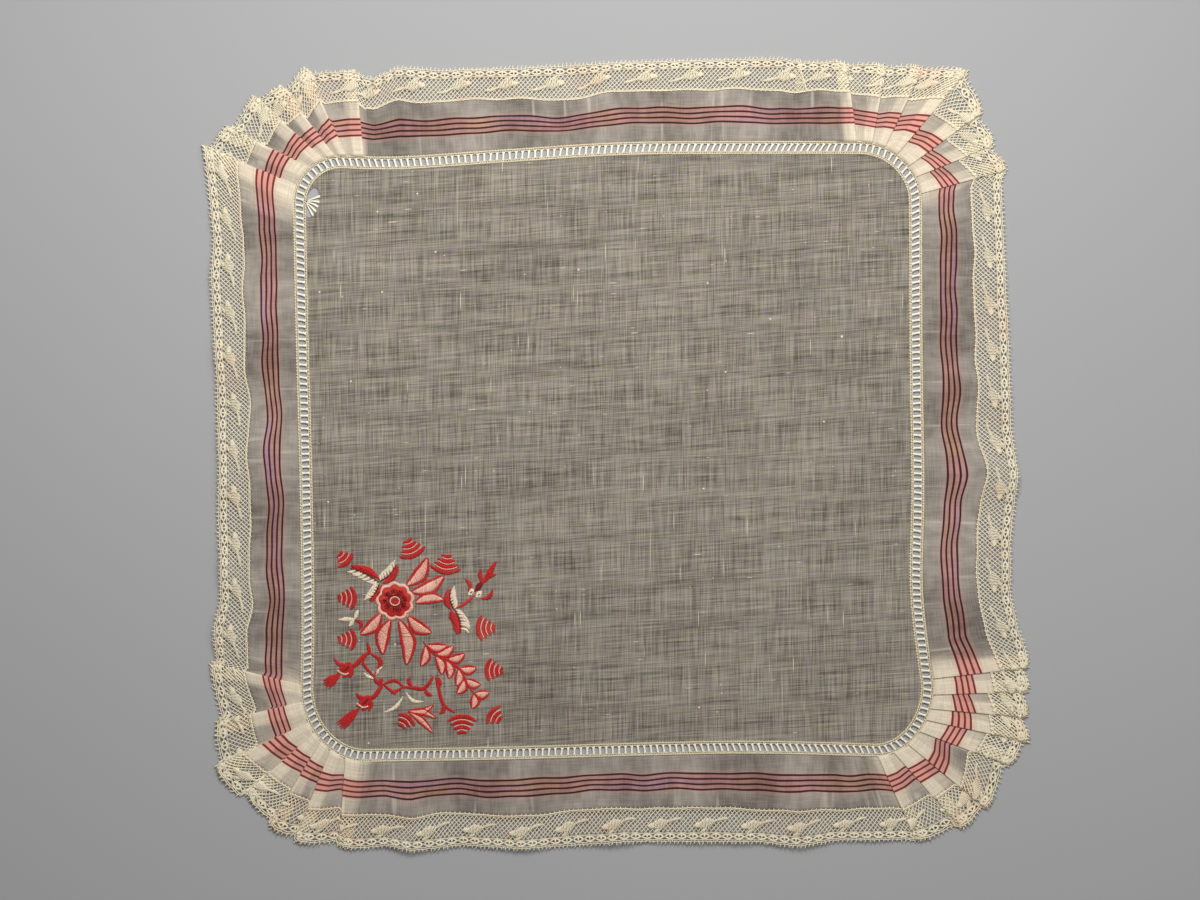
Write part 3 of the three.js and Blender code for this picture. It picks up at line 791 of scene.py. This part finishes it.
insertion_thread = thread_material("insertion_thread", (253, 249, 236), (236, 228, 206), (244, 232, 206))
cord_thread = thread_material("cord_thread", (232, 223, 198), (200, 190, 162), (214, 200, 166))
lace_thread = thread_material("lace_thread", (246, 238, 214), (222, 211, 182), (236, 213, 184))
threads = {
    "red": thread_material("red_thread", (212, 34, 30), (160, 8, 12), (202, 66, 58), 0.3, 0.55),
    "deep": thread_material("deep_red_thread", (140, 8, 12), (98, 4, 8), (124, 12, 16), 0.3, 0.55),
    "pink": thread_material("pink_thread", (250, 196, 176), (226, 150, 132), (250, 214, 196), 0.4, 0.5),
    "cream": thread_material("cream_thread", (248, 238, 214), (222, 206, 172), (250, 226, 206), 0.4, 0.5),
}
ground, shader, place = new_material("pale_ground", 0.9, 0.0)
feed(shader, Base_Color=place.noise(3, 3, 0).blend(colour(162, 164, 167), colour(168, 170, 173)))
floor.data.materials.append(ground)
print(len(bpy.data.materials), "materials")

# %% [markdown]
# ## The ladder insertion
# Threads were drawn out of the cloth and the rest tied into little bars, like a ladder, and each edge of
# the ladder is whipped over with thread. In plan it is rungs, two thin cords at their ends, a row of tiny
# holes, and the whipped cord where the next cloth joins. Along each side the rungs lean back at first and
# forward at the end.

# %% Rungs of the ladder
RUNG_PITCH, RUNG_REACH = 2.55, 1.55  # the reach is from the middle line
RUNG_HEIGHT, RUNG_ARCH = 0.5, 0.25
LEANS = [  # place along the ladder, how far the outer end of a rung is ahead of the inner one
    (0, -1.2), (60, 0.4), (130, 0.8), (190, 1.9), (215, 0), (242, -1.2), (330, 0.1), (432, 0.5),
    (455, -0.3), (485, -2), (570, 0), (670, 0.6), (698, -0.4), (745, -1.4), (800, -0.1), (905, 0.8),
    (945, -1.2),
]
noise = np.random.default_rng(7)


def beside(along, out, height):
    along, out, height = np.broadcast_arrays(along, out, height)
    return np.concatenate([beside_ladder(along, out), height[..., None]], axis=-1)


def every(spacing):
    count = round(ROUND / spacing)
    return (np.arange(count)[:, None] + 0.5) * ROUND / count


at = every(RUNG_PITCH)
lean = np.interp(at, *zip(*LEANS)) + noise.normal(0, 0.18, at.shape)
part = np.linspace(-1, 1, 7)
across = RUNG_REACH * part + noise.normal(0, 0.03, at.shape)
rungs = beside(at + lean * part / 2, across, RUNG_HEIGHT + RUNG_ARCH * (1 - part**2))
ladder = new_piece("ladder_threads", *tubes(rungs, UP, 0.36 + 0.36 * part**4, 0.2), insertion_thread)

# %% Cords and whipping
CORDS = [  # place across, half width, height
    (-2.3, 0.24, 0.55), (-1.6, 0.15, 0.5), (1.6, 0.15, 0.5), (2.3, 0.26, 0.6),
]
CORD_STEP, BAR_PITCH, WHIP_PITCH = 1.3, 0.95, 1.25
BAR_REACH = np.array([1.5, 1.95, 2.4])  # from the thin cord to the whipped one
BOW = np.linspace(-1, 1, 4)  # points of a short stitch, from end to end

parts = []
for out, half_width, height in CORDS:
    along = np.linspace(0, ROUND, int(ROUND / CORD_STEP), endpoint=False)
    cord = beside(along, out + 0.03 * noise.normal(size=along.size), height)[None]
    parts.append(tubes(cord, UP, half_width, 0.22, loop=True))
at = every(BAR_PITCH)
for side in (-1, 1):
    bars = beside(at + noise.normal(0, 0.05, at.shape), side * BAR_REACH, RUNG_HEIGHT)
    parts.append(tubes(bars, UP, 0.2, 0.12))
at = every(WHIP_PITCH)
for side in (-1, 1):
    jitter = noise.normal(0, 0.07, at.shape)
    whips = beside(at + 0.34 * BOW * side + jitter, side * (2.34 + 0.42 * BOW), 0.62 + 0.28 * (1 - BOW**2))
    parts.append(tubes(whips, UP, 0.15, 0.12))
whipping = new_piece("ladder_whipping", *join(parts), cord_thread)

# %% [markdown]
# ## Bobbin lace
# The lace was made on a pillow from many threads: a footing that is sewn to the frill, a net of crossing
# threads, leaf shapes of close cloth stitch in a repeat, a heading of small ovals, and picots on the outer
# edge. Each is a set of strands drawn on the flat strip and carried to the folds. The strip's two ends lap
# near the right of the top side, so the last few millimetres are lifted over the first.

# %% Lace net
LAP = 4.5  # how far the end lies over the beginning
LAP_STATION = 8  # the ripple of the top side where the lace begins
END_SLANT = 0.28  # the upper end is cut slantwise
LAP_LIFT = 0.55
NETS = [("lace_net_rising", 8.6, 0.1, 0.155), ("lace_net_falling", -7.2, 0.0, 0.115)]
NET_PITCH, NET_START, NET_WIDTH = 1.75, 0.5, 8.7
CLOSER = 0.55  # how much closer the lace looks where it is folded over itself
LACE_START = cloth_at[station_columns[LAP_STATION]]
LACE = CLOTH_ROUND + LAP


def lace_strands(along, out, lift, half_width, half_height):
    """Strands drawn on the flat lace: mm along it, mm out from the frill's edge, mm above the cloth."""
    along, out, lift = np.broadcast_arrays(np.clip(along, 0, LACE - END_SLANT * np.asarray(out)), out, lift)
    over = LAP_LIFT * ease((along - CLOTH_ROUND + 1.5) / 1.5)
    at, out = LACE_START + along, FRILL + out
    layers_and_highlight = np.interp(np.mod(at, CLOTH_ROUND), cloth_at, columns[:, RIM_LAYERS_AND_HIGHLIGHT])
    return tubes(lay(at, out, lift + over), upward(at, out), half_width * (1 + CLOSER * layers_and_highlight), half_height)


across = np.linspace(0, 1, 13)
starts = np.arange(-9, LACE + 9, NET_PITCH)[:, None]
nets = []
for name, slant, lift, half_width in NETS:
    along = starts + slant * (across - 0.5) + 0.1 * np.sin(starts * 1.7 + across * 9)
    along = along[(along.max(axis=1) > 0) & (along.min(axis=1) < LACE)]
    woven = lift + 0.05 * np.sin(across * 36)
    strands = lace_strands(along, NET_START + NET_WIDTH * across, woven, half_width, 0.1)
    nets.append(new_piece(name, *strands, lace_thread))

# %% [markdown]
# ## Leaves in the lace
# The lace's repeat is a thin stem that opens into a leaf, with a close bright tip and a wing towards the
# heading. Cloth stitch is rows of thread side by side, so each leaf is filled with strands laid across its
# spine, as long as the leaf is wide there. The same helper fills the embroidery later.

# %% Filling a leaf


def smooth_path(points, steps=24):
    p = np.array(points, float)
    return smooth_line(p, steps) if len(p) > 2 else p[0] + (p[1] - p[0]) * np.linspace(0, 1, steps)[:, None]


def filling(points, half_width, spacing, lean=0.0, round_start=0.6, round_end=0.6, steps=4):
    """Flat points of the strands laid across a leaf, and how far along its strand each is, from -1 to 1."""
    spine = smooth_path(points)
    at = distances(spine)
    where = np.arange(spacing / 2, at[-1], spacing)
    ahead = read_off(where, at, np.gradient(spine, at, axis=0))
    aside = left_of(ahead) + lean * ahead
    part = where / at[-1]
    width = half_width * (2 * part).clip(0, 1) ** round_start * (2 - 2 * part).clip(0, 1) ** round_end
    bow = np.linspace(-1, 1, steps)
    return read_off(where, at, spine)[:, None] + aside[:, None] * (width[:, None] * bow)[..., None], bow


flat, _ = filling([(0, 0), (6, 0)], half_width=2, spacing=0.5)
print("a leaf of 6 mm is filled with", len(flat), "strands")

# %% Lace leaves
LEAF_PITCH = LACE / round(LACE / 18.5)
LACE_LEAVES = [  # spine, half width, spacing, how round the two ends are
    ([(0.6, 3.8), (3.4, 4.2), (6.4, 5.2)], 0.6, 0.5, 0.4, 0.3),
    ([(5.6, 4.9), (8.8, 6.1), (12.6, 6.6)], 2.3, 0.62, 0.9, 0.35),
    ([(11.8, 6.5), (13.0, 6.6), (14.4, 6.5)], 1.15, 0.4, 0.2, 0.8),
    ([(9.2, 7.8), (10.4, 8.5), (11.8, 9.0)], 0.7, 0.5, 0.6, 0.6),
]

repeats = np.arange(round(LACE / LEAF_PITCH)) * LEAF_PITCH
parts = []
for spine, half_width, spacing, start, end in LACE_LEAVES:
    flat, bow = filling(spine, half_width, spacing, 0.15, start, end)
    along = (flat[..., 0] + repeats[:, None, None]).reshape(-1, len(bow))
    out = np.tile(flat[..., 1], (len(repeats), 1))
    parts.append(lace_strands(along, out, 0.2 + 0.1 * (1 - bow**2), 0.2, 0.1))
leaves = new_piece("lace_leaves", *join(parts), lace_thread)

# %% [markdown]
# ## Footing, heading and picots
# The footing is the straight edge that is whipped to the frill. On the other side, small ovals of cloth
# stitch stand in a row between two cords, and beyond a third the outermost threads are looped into picots.
# The ovals are closed loops with a bar across, so they keep two tiny holes. A picot is so small that one
# tapering strand stands for it.

# %% Lace heading
OVAL_PITCH = LACE / round(LACE / 4.6)
HEADING = 10.55  # from the frill's edge to the middle of the ovals
HEADING_CORDS = [(9.35, 0.15), (11.75, 0.16), (12.4, 0.14)]  # place across, half width

turn = np.linspace(0, 2 * np.pi, 13)
ovals = (np.arange(round(LACE / OVAL_PITCH))[:, None] + 0.5) * OVAL_PITCH
heading = [
    lace_strands(ovals + 1.75 * np.cos(turn), HEADING + 0.78 * np.sin(turn), 0.15, 0.36, 0.13),
    lace_strands(ovals, HEADING + np.array([-0.6, 0, 0.6]), 0.18, 0.3, 0.12),
    lace_strands(ovals + OVAL_PITCH * 0.5 + np.array([-0.7, 0, 0.7]), HEADING, 0.15, 0.22, 0.12),
]
run = np.linspace(0, LACE, int(LACE / 0.85))[None]
for out, half_width in HEADING_CORDS:
    scallop = out + 0.12 * np.cos(2 * np.pi * run / OVAL_PITCH)
    heading.append(lace_strands(run, scallop, 0.15, half_width, 0.14))
heading_piece = new_piece("lace_heading", *join(heading), lace_thread)

# %% Lace picots
EDGE_PITCH, PICOT_PITCH = 1.5, 1.65
PICOT_FOOT = 12.3  # from the frill's edge

bars = np.arange(0.4, LACE, EDGE_PITCH)[:, None]
picots = np.arange(0.3, LACE, PICOT_PITCH)[:, None]
tilt = noise.normal(0.35, 0.35, picots.shape)
length = noise.uniform(0.95, 1.45, picots.shape)
tip = np.linspace(0, 1, 4)
along, out = picots + tilt * tip**2, PICOT_FOOT + length * tip
edge_parts = [
    lace_strands(bars + np.array([0.0, 0.2]), np.array([11.6, 12.5]), 0.1, 0.14, 0.1),
    lace_strands(along, out, 0.12, 0.22 - 0.14 * tip**2, 0.1 - 0.04 * tip),
]
picot_piece = new_piece("lace_picots", *join(edge_parts), lace_thread)

# %% Lace footing
FOOT_PITCH = 1.9  # from one whipping stitch to the next
HEM = 12.6  # length of the hemmed end

whips = np.arange(0.5, LACE, FOOT_PITCH)[:, None]
whips = whips + noise.normal(0, 0.12, whips.shape)
foot_parts = [
    lace_strands(run, 0.2 + 0.06 * np.sin(run * 3.1), 0.25, 0.24, 0.15),
    lace_strands(run, 0.75, 0.12, 0.12, 0.1),
    lace_strands(whips + 0.35 * BOW, 0.15 + 0.62 * BOW, 0.25 + 0.28 * (1 - BOW**2), 0.13, 0.1),
    lace_strands(np.full((1, len(across)), LACE), HEM * across, 0.22, 0.24, 0.14),
]
footing = new_piece("lace_footing", *join(foot_parts), lace_thread)
lace_pieces = [*nets, leaves, heading_piece, picot_piece, footing]

# %% [markdown]
# ## Threads left in the worn hole
# Where the linen is worn away at the upper left, a few threads still cross the gap and meet near the
# ladder, like a fan. They are single strands from one point to places along the hole's edge.

# %% Threads over the hole
GRIP = 0.3  # how far the threads run on into the cloth

lean = np.radians(HOLE["lean"])
turned = np.array([[np.cos(lean), -np.sin(lean)], [np.sin(lean), np.cos(lean)]])
ends = np.radians([-52, -30, -10, 8, 30])
half_width, half_length = HOLE["half_width"] + GRIP, HOLE["half_length"] + GRIP
far = np.stack([half_width * np.cos(ends), half_length * np.sin(ends)], axis=-1) @ turned.T + HOLE["centre"]
near = np.array(HOLE["centre"]) + (-2.5, 0.4)
steps = np.linspace(0, 1, 6)[:, None]
flat = near + (far[:, None] - near) * steps
flat[..., 1] += 0.25 * np.sin(np.pi * steps[:, 0]) * np.cos(ends * 3)[:, None]
flat = np.concatenate([flat, np.full((*flat.shape[:2], 1), 0.42)], axis=-1)
fan = new_piece("hole_threads", *tubes(flat, UP, 0.14 + 0.32 * steps[:, 0], 0.12), insertion_thread)

# %% [markdown]
# ## Embroidery
# The corner is worked in satin stitch: threads laid close together across each petal and leaf, and stem
# stitch for lines. The stitches are strands that bow up from the linen. Each thread colour is collected
# apart and becomes one piece. The flowers are a rosette, buds and sprays, and the middle is a garland of
# pink leaves edged with red.

# %% Stitches
CLOTH_TOP, STITCH_RISE = 0.5, 0.28
EMBROIDERY = np.array([-80.4, -73.0])  # the middle of the worked corner
CLOSE = 0.36  # from one satin stitch to the next
BLUNT = (0.3, 0.3)  # how round both ends of a band are
stitches = {thread: [] for thread in threads}


def sew(thread, flat, bow, half_width=0.17, lift=0.0):
    flat = flat + EMBROIDERY
    height = np.broadcast_to(CLOTH_TOP + lift + STITCH_RISE * (1 - bow**2), flat.shape[:2])
    stitches[thread].append(tubes(np.concatenate([flat, height[..., None]], axis=-1), UP, half_width, 0.1))


def satin(thread, points, half_width, lean=0.35, spacing=CLOSE, ends=(0.6, 0.6), lift=0.0):
    flat, bow = filling(points, half_width, spacing, lean, *ends)
    sew(thread, flat + noise.normal(0, 0.05, (len(flat), 1, 2)), bow, lift=lift)


def stem(thread, points, half_width=0.24, lift=0.08):
    """A line of short stitches, each beginning beside the one before."""
    spine = smooth_path(points)
    at = distances(spine)
    flat = read_off(np.arange(0.5, at[-1], 0.85)[:, None] + 0.75 * BOW, at, spine)
    flat += left_of(unit(np.gradient(flat, axis=1))) * (0.12 * BOW)[:, None]
    sew(thread, flat, BOW, half_width, lift)


print("thread colours:", *stitches)

# %% Leaves of satin stitch


def bowed(start, end, curve):
    start, end = np.array(start, float), np.array(end, float)
    return [start, (start + end) / 2 + curve * left_of(end - start), end]


def leaf(thread, start, end, half_width, curve=0.0, edge=None, spacing=CLOSE, lift=0.0):
    """A leaf of satin stitch from start to end, with an edge of another thread if one is named."""
    spine = bowed(start, end, curve)
    satin(thread, spine, half_width, spacing=spacing, lift=lift)
    if edge:
        outline, _ = filling(spine, half_width + 0.2, 0.8, steps=2)
        for rim in (outline[:, 0], outline[:, 1]):
            satin(edge, [spine[0], *rim, spine[2]], 0.22 + 0.18 * half_width, 0.6, 0.38, BLUNT, 0.05)


print("middle of a bowed leaf:", bowed((0, 0), (4, 0), 0.1)[1])

# %% [markdown]
# ## Rosette and shells
# The rosette is worked round and round: long red stitches from the middle to a wavy edge, and a pale rim of
# short stitches beyond it. The shells are bands of satin stitch, each shorter than the last and curved like
# a fish scale. Places are millimetres from the middle of the embroidery.

# %% Rosette
ROSETTE = np.array([-8.0, 14.8])


def spokes(thread, inner, outer, count, spread=0.04, lift=0.0):
    angle = np.linspace(0, 2 * np.pi, count, endpoint=False)
    inner, outer = (reach(angle) if callable(reach) else np.full(count, reach) for reach in (inner, outer))
    reach = inner[:, None] + (outer - inner)[:, None] * (BOW + 1) / 2
    turned = angle[:, None] + spread * BOW
    sew(thread, ROSETTE + np.stack([reach * np.cos(turned), reach * np.sin(turned)], axis=-1), BOW, 0.2, lift)


def wavy(size):
    return lambda angle: size * (0.92 + 0.12 * np.abs(np.sin(4.5 * angle + 0.5)))


spokes("red", 1.4, wavy(6.5), 140)
spokes("deep", 1.9, lambda a: 2.6 + 1.8 * np.abs(np.cos(2.5 * a + 0.5)) ** 3, 84, lift=0.1)
spokes("pink", wavy(6.3), wavy(7.55), 150, 0.02, 0.05)
spokes("red", 0.1, 1.8, 22, 0.2, 0.1)
turn = np.linspace(0, 2 * np.pi, 30)
stem("pink", ROSETTE + 1.9 * np.stack([np.cos(turn), 0.9 * np.sin(turn)], axis=-1), 0.16, 0.3)
print("rosette:", sum(map(len, stitches.values())), "rounds of stitches")

# %% Shells
SHELLS = [  # place, the way its tip points in degrees, number of bands, width of the first band
    ((-28.8, 32.2), 132, 3, 8.0), ((-1.6, 35.8), 112, 4, 11.0), ((12.4, 29.6), 82, 4, 12.0),
    ((-26.9, 16.0), 180, 4, 9.0), ((-26.9, -0.6), 180, 4, 8.5), ((28.2, 4.0), 0, 4, 10.2),
    ((31.4, -12.8), -6, 4, 9.0), ((18.8, -34.6), -90, 4, 11.5), ((32.6, -31.6), -38, 3, 9.0),
    ((-4.3, -33.8), -128, 3, 8.0),
]
BAND = 1.6  # from one band of a shell to the next

part = np.linspace(-1, 1, 7)[:, None]
for place, points_to, bands, width in SHELLS:
    facing = at_angle(points_to)
    for k in range(bands):
        half = width / 2 * (1 - 0.8 * k / (bands - 0.4))
        sag = 0.34 * half * (1 - part**2) - BAND * (k - 0.8)
        band = np.array(place) + left_of(facing) * half * part - facing * sag
        satin("red", band, 0.98, 0.5, CLOSE, BLUNT)
        if k:
            stem("pink", band - facing * BAND / 2, 0.13, 0.14)
print(len(SHELLS), "shells round the rosette")

# %% [markdown]
# ## Buds and leaves
# Two buds hang on stems at the lower left, each with a row of pale dots and a drop below it, and a bud with
# feathery leaves stands at the upper right. Leaves beside the rosette are worked half red and half cream.

# %% Buds
BUDS = [  # stem, middle of the bud, tip of its hooked leaf, end of the drop
    [(-20.3, -6.6), (-27.6, -12.7), (-32.4, -7.8), (-35.6, -18.6)],
    [(-12.8, -18.4), (-19.9, -25.9), (-23.5, -21.8), (-29.8, -35.2)],
]

for base, bud, hook, drop in np.array(BUDS):
    satin("red", [base, (base + bud) / 2 + (0.5, -0.7), bud + (0.6, 1.0)], 0.95, 0.8, ends=BLUNT)
    for tip, wide in [((-3.6, -1.6), 1.6), ((1.6, -3.3), 1.6), ((-1.2, -3.2), 2.1)]:
        leaf("red", bud + (1.8, 2.8), bud + tip, wide)
    leaf("deep", bud + (1.6, 1.8), bud - (1.0, 0.8), 0.9, lift=0.1)
    leaf("red", bud + (0.6, 1.8), hook, 0.95, 0.2)
    ahead = unit(drop - bud)
    aside = left_of(ahead)
    for k in np.linspace(-1, 1, 5):
        tip = drop + aside * 2.0 * k + ahead * 0.8 * (1 - k * k)
        middle = (bud + drop) / 2 + ahead + aside * k
        satin("red", [bud + ahead * 2.6, middle, tip], 0.75, 0.4, ends=(0.7, 0.5))
    part = np.linspace(0, 1, 7)
    for dot in bud + np.stack([-3.0 + 3.8 * part, 0.2 - 2.0 * np.sin(np.pi * (0.1 + 0.6 * part))], axis=-1):
        satin("cream", [dot - (0.3, 0), dot + (0.3, 0)], 0.26, 0, 0.2, lift=0.25)
print(len(BUDS), "hanging buds")

# %% Half leaves
HALF_LEAVES = [  # start, end, half width, curve, which side is pale
    ((-14.4, 22.4), (-26.5, 28.2), 1.9, -0.06, 1), ((-14.0, 22.6), (-7.2, 29.8), 1.9, -0.1, 1),
    ((-14.2, 21.8), (-18.6, 14.9), 1.8, 0.08, -1), ((16.0, 11.6), (18.2, 1.6), 2.6, 0.08, 1),
    ((15.6, 11.4), (14.4, 20.0), 1.8, 0.12, -1),
]


def half_leaf(start, end, half_width, curve, pale_side):
    """A leaf worked close and red on one side of its vein, and in loose cream strokes on the other."""
    spine = bowed(start, end, curve)
    vein = smooth_path(spine, 8)
    ahead = unit(spine[2] - spine[0])
    paler = pale_side * left_of(ahead)
    for part in np.linspace(0.12, 0.8, 7):
        here = vein[int(part * len(vein))]
        reach = half_width * (0.7 + 0.75 * np.sin(np.pi * part))
        leaf("cream", here, here + ahead * 2.6 + paler * reach, 0.62, 0.15 * pale_side)
    red_side = vein - paler * 0.6 * half_width
    satin("red", red_side, 0.9 * half_width, 0.9 * pale_side, ends=(0.8, 0.5), lift=0.05)
    satin("deep", vein, 0.26, 0.8, ends=(0.3, 0.5), lift=0.16)


for row in HALF_LEAVES:
    half_leaf(*row)
for end in [(-22.6, 11.4), (-30.6, 7.4), (-26.4, 4.6)]:
    leaf("cream", (-24.2, 7.6), end, 0.95)
satin("red", [(-24.0, 7.4), (-21.6, 6.0), (-22.4, 3.2)], 0.95, 0.6)
print(len(HALF_LEAVES), "half leaves and a pale sprig")

# %% Feathery bud
SPRIGS = [  # start, end, curve
    ((27, 22), (26.3, 27.7), 0.1), ((28.6, 23.8), (32.6, 25.4), 0.1),
    ((21.4, 18.6), (20.0, 23.8), -0.25), ((26.2, 15.8), (31.2, 19.6), -0.25),
]

satin("red", [(15.8, 11.8), (19.0, 13.2), (21.6, 15), (24.2, 17.4)], 0.7, 0.8)
for place in np.array([(22.5, 18.3), (25.6, 17.4)]):
    leaf("cream", place - (1.2, 1.0), place + (1.2, 1.0), 1.35, spacing=0.3)
    leaf("deep", place - (0.4, 0.3), place + (0.4, 0.3), 0.4, lift=0.12)
leaf("deep", (23.8, 18.6), (27.4, 22.6), 1.3)
satin("red", [(26.2, 21.2), (29.4, 25.3), (32.7, 30.8)], 1.3, 0.9)
for start, end, curve in SPRIGS:
    leaf("red", start, end, 1.0, curve)
print("a bud with", len(SPRIGS), "feathery leaves")

# %% [markdown]
# ## Vine and garland
# A vine winds along the bottom with thin pale leaves and a fan below it. In the middle, broad pink leaves
# edged with red spread from the rosette, and a garland of smaller ones runs down to the right on a slow
# wave.

# %% Vine
VINE = [(-4.5, -19.5), (-0.5, -19.9), (3.8, -20.0), (7.6, -15.2)]
LOOPS = [  # start, one side, the other side and end of the vine's open leaves
    ((-18.4, -5.6), (-14.0, -9.4), (-20.8, -9.8), (-16.3, -15.4)),
    ((-12.6, -18.4), (-8.2, -17.0), (-8.6, -21.3), (-4.5, -19.5)),
]
TENDRILS = [
    [(-20.3, -6.8), (-18.4, -5.4), (-18.9, -1.8)], [(-16.3, -15.2), (-15.4, -17.4), (-12.8, -18.6)],
    [(8.4, -15.4), (9.7, -21.1), (11.5, -26.6), (16.2, -30.0)],
]
VINE_LEAVES = [  # start, end, curve
    ((-14.4, -19.0), (-12.6, -16.2), 0.1), ((-1.2, -19.4), (-1.8, -15.6), 0.25),
    ((4.2, -20.2), (7.0, -23.2), -0.2), ((-14.4, -7.4), (-14.6, -11.6), 0.2),
    ((9.4, -15.4), (9.2, -20.4), 0.1), ((11.6, -26.6), (9.6, -30.4), 0.2),
    ((-9.4, -21.2), (-7.6, -22.6), 0.1),
]
CREAM_LEAVES = [
    ((-4.8, -23.4), (-12.4, -29.7), 0.14), ((-3.5, -21.8), (3.5, -25.4), -0.22),
    ((-16.4, -16.2), (-20.4, -13.8), 0.12), ((-15.8, -14.8), (-13.0, -11.6), 0.12),
]
FAN = [((7.2, -37.8), 0.05), ((8.4, -32.0), 0.1), ((7.2, -26.8), -0.16)]

satin("red", VINE, 0.85, 0.8, ends=BLUNT)
for start, *between, end in LOOPS:
    for side in between:
        satin("red", [start, side, end], 0.62, 0.8, ends=BLUNT)
for tendril in TENDRILS:
    satin("red", tendril, 0.72, 0.8, ends=BLUNT)
for start, end, curve in VINE_LEAVES:
    leaf("red", start, end, 1.1, curve)
for start, end, curve in CREAM_LEAVES:
    leaf("cream", start, end, 0.8, curve)
for end, curve in FAN:
    leaf("pink", (-2.6, -29.2), end, 1.0, curve, "red")
print("vine with", len(VINE_LEAVES) + len(CREAM_LEAVES), "leaves and a fan of", len(FAN))

# %% Broad leaves and garland
BROAD = [  # start, end, half width, curve of the broad leaves round the rosette
    ((-3.2, 21.2), (5.0, 32.0), 2.3, -0.12), ((-1.0, 18.4), (11.6, 24.8), 2.3, -0.1),
    ((0.2, 14.2), (11.6, 15.4), 2.0, 0.12), ((-13.6, 9.8), (-21.6, 1.6), 2.1, 0.1),
    ((-9.8, 7.2), (-12.8, -6.4), 2.3, -0.12), ((-6.2, 7.0), (-3.4, -10.6), 2.5, 0.12),
    ((-2.6, 8.6), (6.6, 2.2), 2.2, -0.12),
]
GARLAND = [(3.2, -1.2), (7.4, -6.2), (13.0, -8.8), (18.6, -13.2), (21.4, -19.4), (27.0, -25.6)]

for start, end, half_width, curve in BROAD:
    leaf("pink", start, end, half_width, curve, "red", 0.4)

garland = smooth_path(GARLAND, 12)
last = len(garland) - 1
satin("red", garland, 0.5, 0.8, ends=(0.3, 0.5))
for k, part in enumerate([0.1, 0.26, 0.42, 0.58, 0.74, 0.9]):
    number = int(part * last)
    here = garland[number]
    ahead = unit(garland[min(number + 2, last)] - here)
    for side in (-1, 1):
        aside = side * left_of(ahead)
        end = here + (ahead * 0.6 + aside * 0.78) * (8.4 - 0.5 * k)
        leaf("pink", here + aside * 0.5, end, 1.55, side * -0.14, "red")

sewn = [new_piece("stitches_" + thread, *join(parts), threads[thread]) for thread, parts in stitches.items()]

# %% [markdown]
# ## Putting each piece on the part's body
# Each piece rides on the one body of the part and takes the place of a solid or adds to it.

# %% Finish
for piece in [panel, fan]:
    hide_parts("linen_panel")
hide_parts("striped_frill")
for piece in [ladder, whipping]:
    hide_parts("ladder_insertion")
for piece in lace_pieces:
    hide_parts("lace_edging")
for slot, pieces in [("panel_linen", [panel]), ("frill_cloth", [frill]), ("lace_thread", lace_pieces),
                     ("insertion_thread", [ladder, whipping, fan, *sewn])]:
    for piece in pieces:
        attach(piece, "root")
